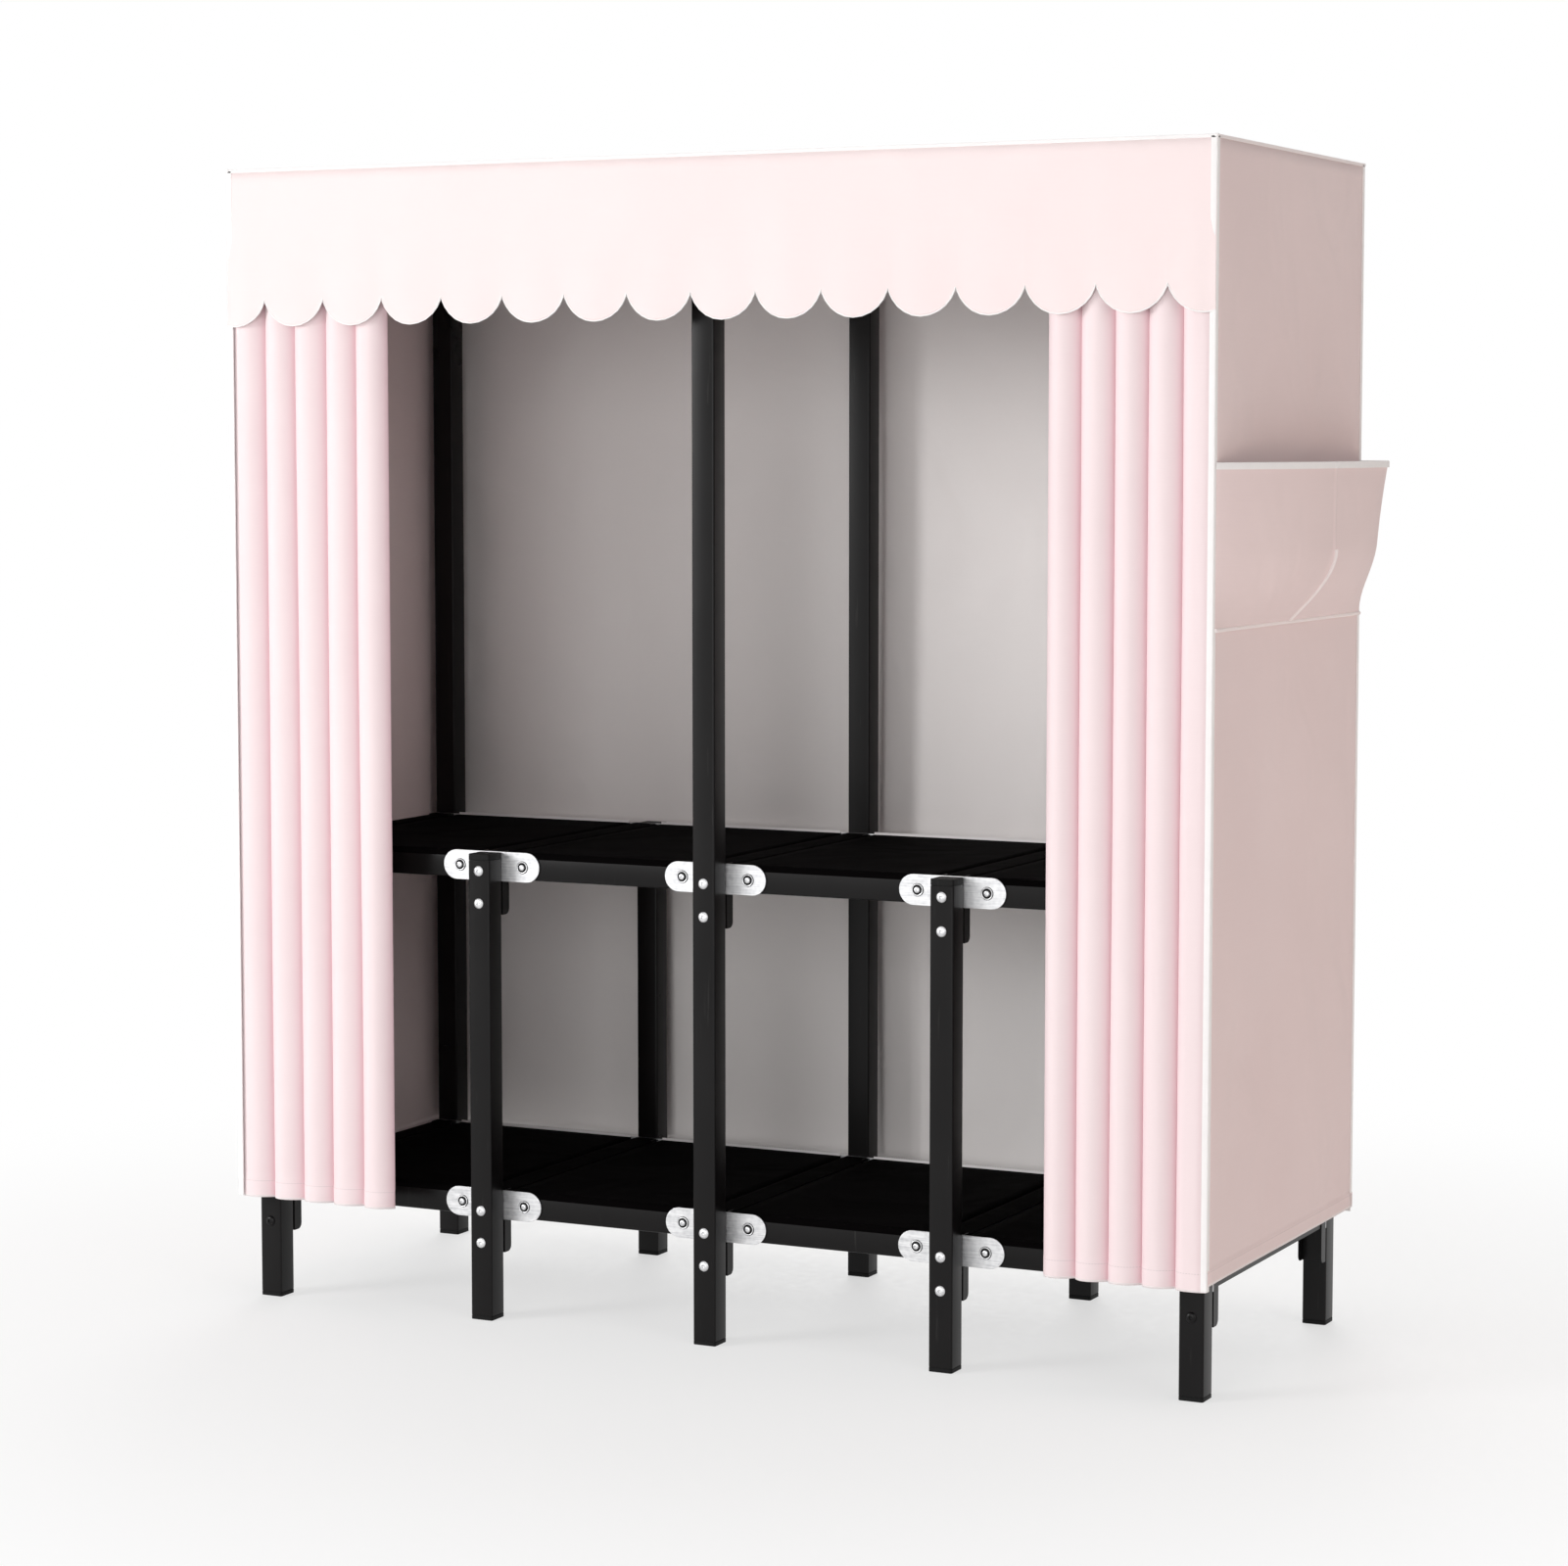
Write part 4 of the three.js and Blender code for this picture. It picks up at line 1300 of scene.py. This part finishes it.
def rib_section(width, crest, valley, outer_rib):
    """Points (across, depth) of one curtain from its left edge: ribs, and a flat tuck behind each valley.

    The outer half of the outer rib stays at the front, where the curtain meets the edge of the cover."""
    pitch = width / RIBS
    points = []
    for rib in range(RIBS):
        start = rib * pitch
        for step in range(RIB_STEPS + 1):
            share = 0.5 - 0.5 * math.cos(math.pi * step / RIB_STEPS)
            turn = math.pi * share**RIB_LEAN
            rise = math.sin(turn) ** 0.75
            if rib == outer_rib and (turn < math.pi / 2) == (outer_rib == 0):
                rise = 1 - OUTER_FALL * abs(1 - 2 * turn / math.pi) ** 2
            points.append((start + pitch * share, valley + (crest - valley) * rise))
        if rib < RIBS - 1:
            end = start + pitch
            back = end - pitch * TUCK_SHARE
            tuck = np.linspace(0, 1, TUCK_STEPS + 1)
            points += [(end + (back - end) * (0.03 + 0.97 * share), valley + LAYER) for share in tuck]
            points.append((back - 0.6 * LAYER, valley + 1.5 * LAYER))
            points += [(back + (end - back) * 0.97 * share, valley + 2 * LAYER) for share in tuck]
    return points


# %% Curtain pieces
CURTAIN_HEM = 0.028
CURTAIN_HEM_STEP = 0.0007
CURTAIN_THICKNESS = 0.0009
CURTAIN_DEPTH = 0.0165
CREST_LEAST = 0.0006
SWAY = 0.0022
SWELL = 0.05
FOLD_SHADE_POWER = 1.6


def curtain(word, outer_rib, seed):
    """One curtain, built where its node lies; the node is hidden and the sheet is attached to no body."""
    node = f"{word}_curtain"
    low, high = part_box(node)
    width, tall = high.x - low.x, high.z - low.z
    crest, valley = low.y + CLOTH_THICKNESS / 2, low.y + CURTAIN_DEPTH
    section = rib_section(width, crest, valley, outer_rib)
    lengths = np.concatenate([[0], np.cumsum(np.hypot(*np.diff(section, axis=0).T))])
    hem = [0.0, 0.004, CURTAIN_HEM - 0.0006, CURTAIN_HEM + 0.0006]
    heights = np.concatenate([hem, spread(0.04, tall, 0.03)])
    where = dict(zip(lengths, section))

    def place(u, v):
        across, depth = where[u]
        z = low.z + v
        sway = SWAY * noise.noise(Vector((across * 14, z * 1.3, seed)))
        swell = 1 + SWELL * noise.noise(Vector((across * 11, z * 0.9, seed + 3)))
        hem_out = CURTAIN_HEM_STEP if v < CURTAIN_HEM and depth < valley else 0.0
        x = low.x + across + sway * pinned(min(across, width - across), 0.03)
        return (x, max(valley + (depth - valley) * swell - hem_out, low.y + CREST_LEAST), z)

    sheet = cloth_grid(f"{node}_sheet", lengths, heights, place, curtain_cloth, thickness=CURTAIN_THICKNESS)
    # How deep each point lies in a fold, for the painted shade of the curtain material.
    fold_shade_depths = [(point.co.y - crest) / (valley - crest) for point in sheet.data.vertices]
    add_map(sheet.data, "folds", [(min(1.0, max(0.0, depth)) ** FOLD_SHADE_POWER, 0) for depth in fold_shade_depths])
    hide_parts(node)
    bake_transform(sheet)


# %% [markdown]
# ## Wire, eyes and runners
# The curtains hang on a steel wire that passes through an eye on each tall front post. A ring at each
# leading edge runs along it and draws the cloth.

# %% Wire, eyes and runners
WIRE_STEP = 0.05
WIRE_ROUND = 0.0006
ROD_STEPS = 20
RING_STEPS = 28
RUNNER_BORE = 0.0028
EYE_RING = (0.0045, 0.0026, 0.0016)
EYE_ARM = (0.0035, 0.0011)
EYE_FOOT = (0.006, 0.011, 0.0012)
EYE_REACH = 0.0034
EYE_SUNK = 0.0004
EYE_ROUND = 0.0003

wire_low, wire_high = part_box("curtain_wire")
wire_y, wire_z = centre_of("curtain_wire").yz


def ring_on_wire(x, outer, inner, half):
    """A ring round the wire, with rounded edges."""
    edge = min(half, outer - inner) * 0.3
    slim = outer - edge
    profile = [
        (inner, -half), (slim, -half), (outer, edge - half), (outer, half - edge), (slim, half),
        (inner, half), (inner, -half),
    ]
    return turned(profile, RING_STEPS, "x", (x, wire_y, wire_z))


def around(middle, half):
    return (middle - half, middle + half)


# The wire has points all along it.
radius = (wire_high.z - wire_low.z) / 2
stops = spread(wire_low.x + WIRE_STEP, wire_high.x - WIRE_STEP, WIRE_STEP)
along = [wire_low.x + WIRE_ROUND, *stops, wire_high.x - WIRE_ROUND]
tips = [[(0.0, wire_low.x), (radius * 0.8, wire_low.x)], [(radius * 0.8, wire_high.x), (0.0, wire_high.x)]]
rod = turned([*tips[0], *[(radius, x) for x in along], *tips[1]], ROD_STEPS, "x", (0, wire_y, wire_z))
shortens(build("curtain_wire_rod", [rod], [tube_zinc]), "zinc_steel", "curtain_wire")

for k in TALL:
    x, face = column_x[k], plate_face("front") - GAP - post_width
    arm = block(around(x, EYE_ARM[0]), (wire_y + EYE_REACH, face + EYE_SUNK), around(wire_z, EYE_ARM[1]))
    foot = block(around(x, EYE_FOOT[0]), (face - EYE_FOOT[2], face + EYE_SUNK), around(wire_z, EYE_FOOT[1]))
    parts = [ring_on_wire(x, *EYE_RING), arm, foot]
    fit(f"wire_eye_{k}", parts, [bright_zinc], frame_bodies[k], "zinc_steel", edge=EYE_ROUND)

for word in SIDES:
    node = f"{word}_curtain_runner"
    size = size_of(node)
    ring = ring_on_wire(centre_of(node).x, size.z / 2, RUNNER_BORE, size.x / 2)
    fit(f"{node}_ring", [ring], [bright_zinc], f"{word}_curtain_lead", "zinc_steel", node)

curtain("left", 0, seed=5)
curtain("right", RIBS - 1, seed=8)
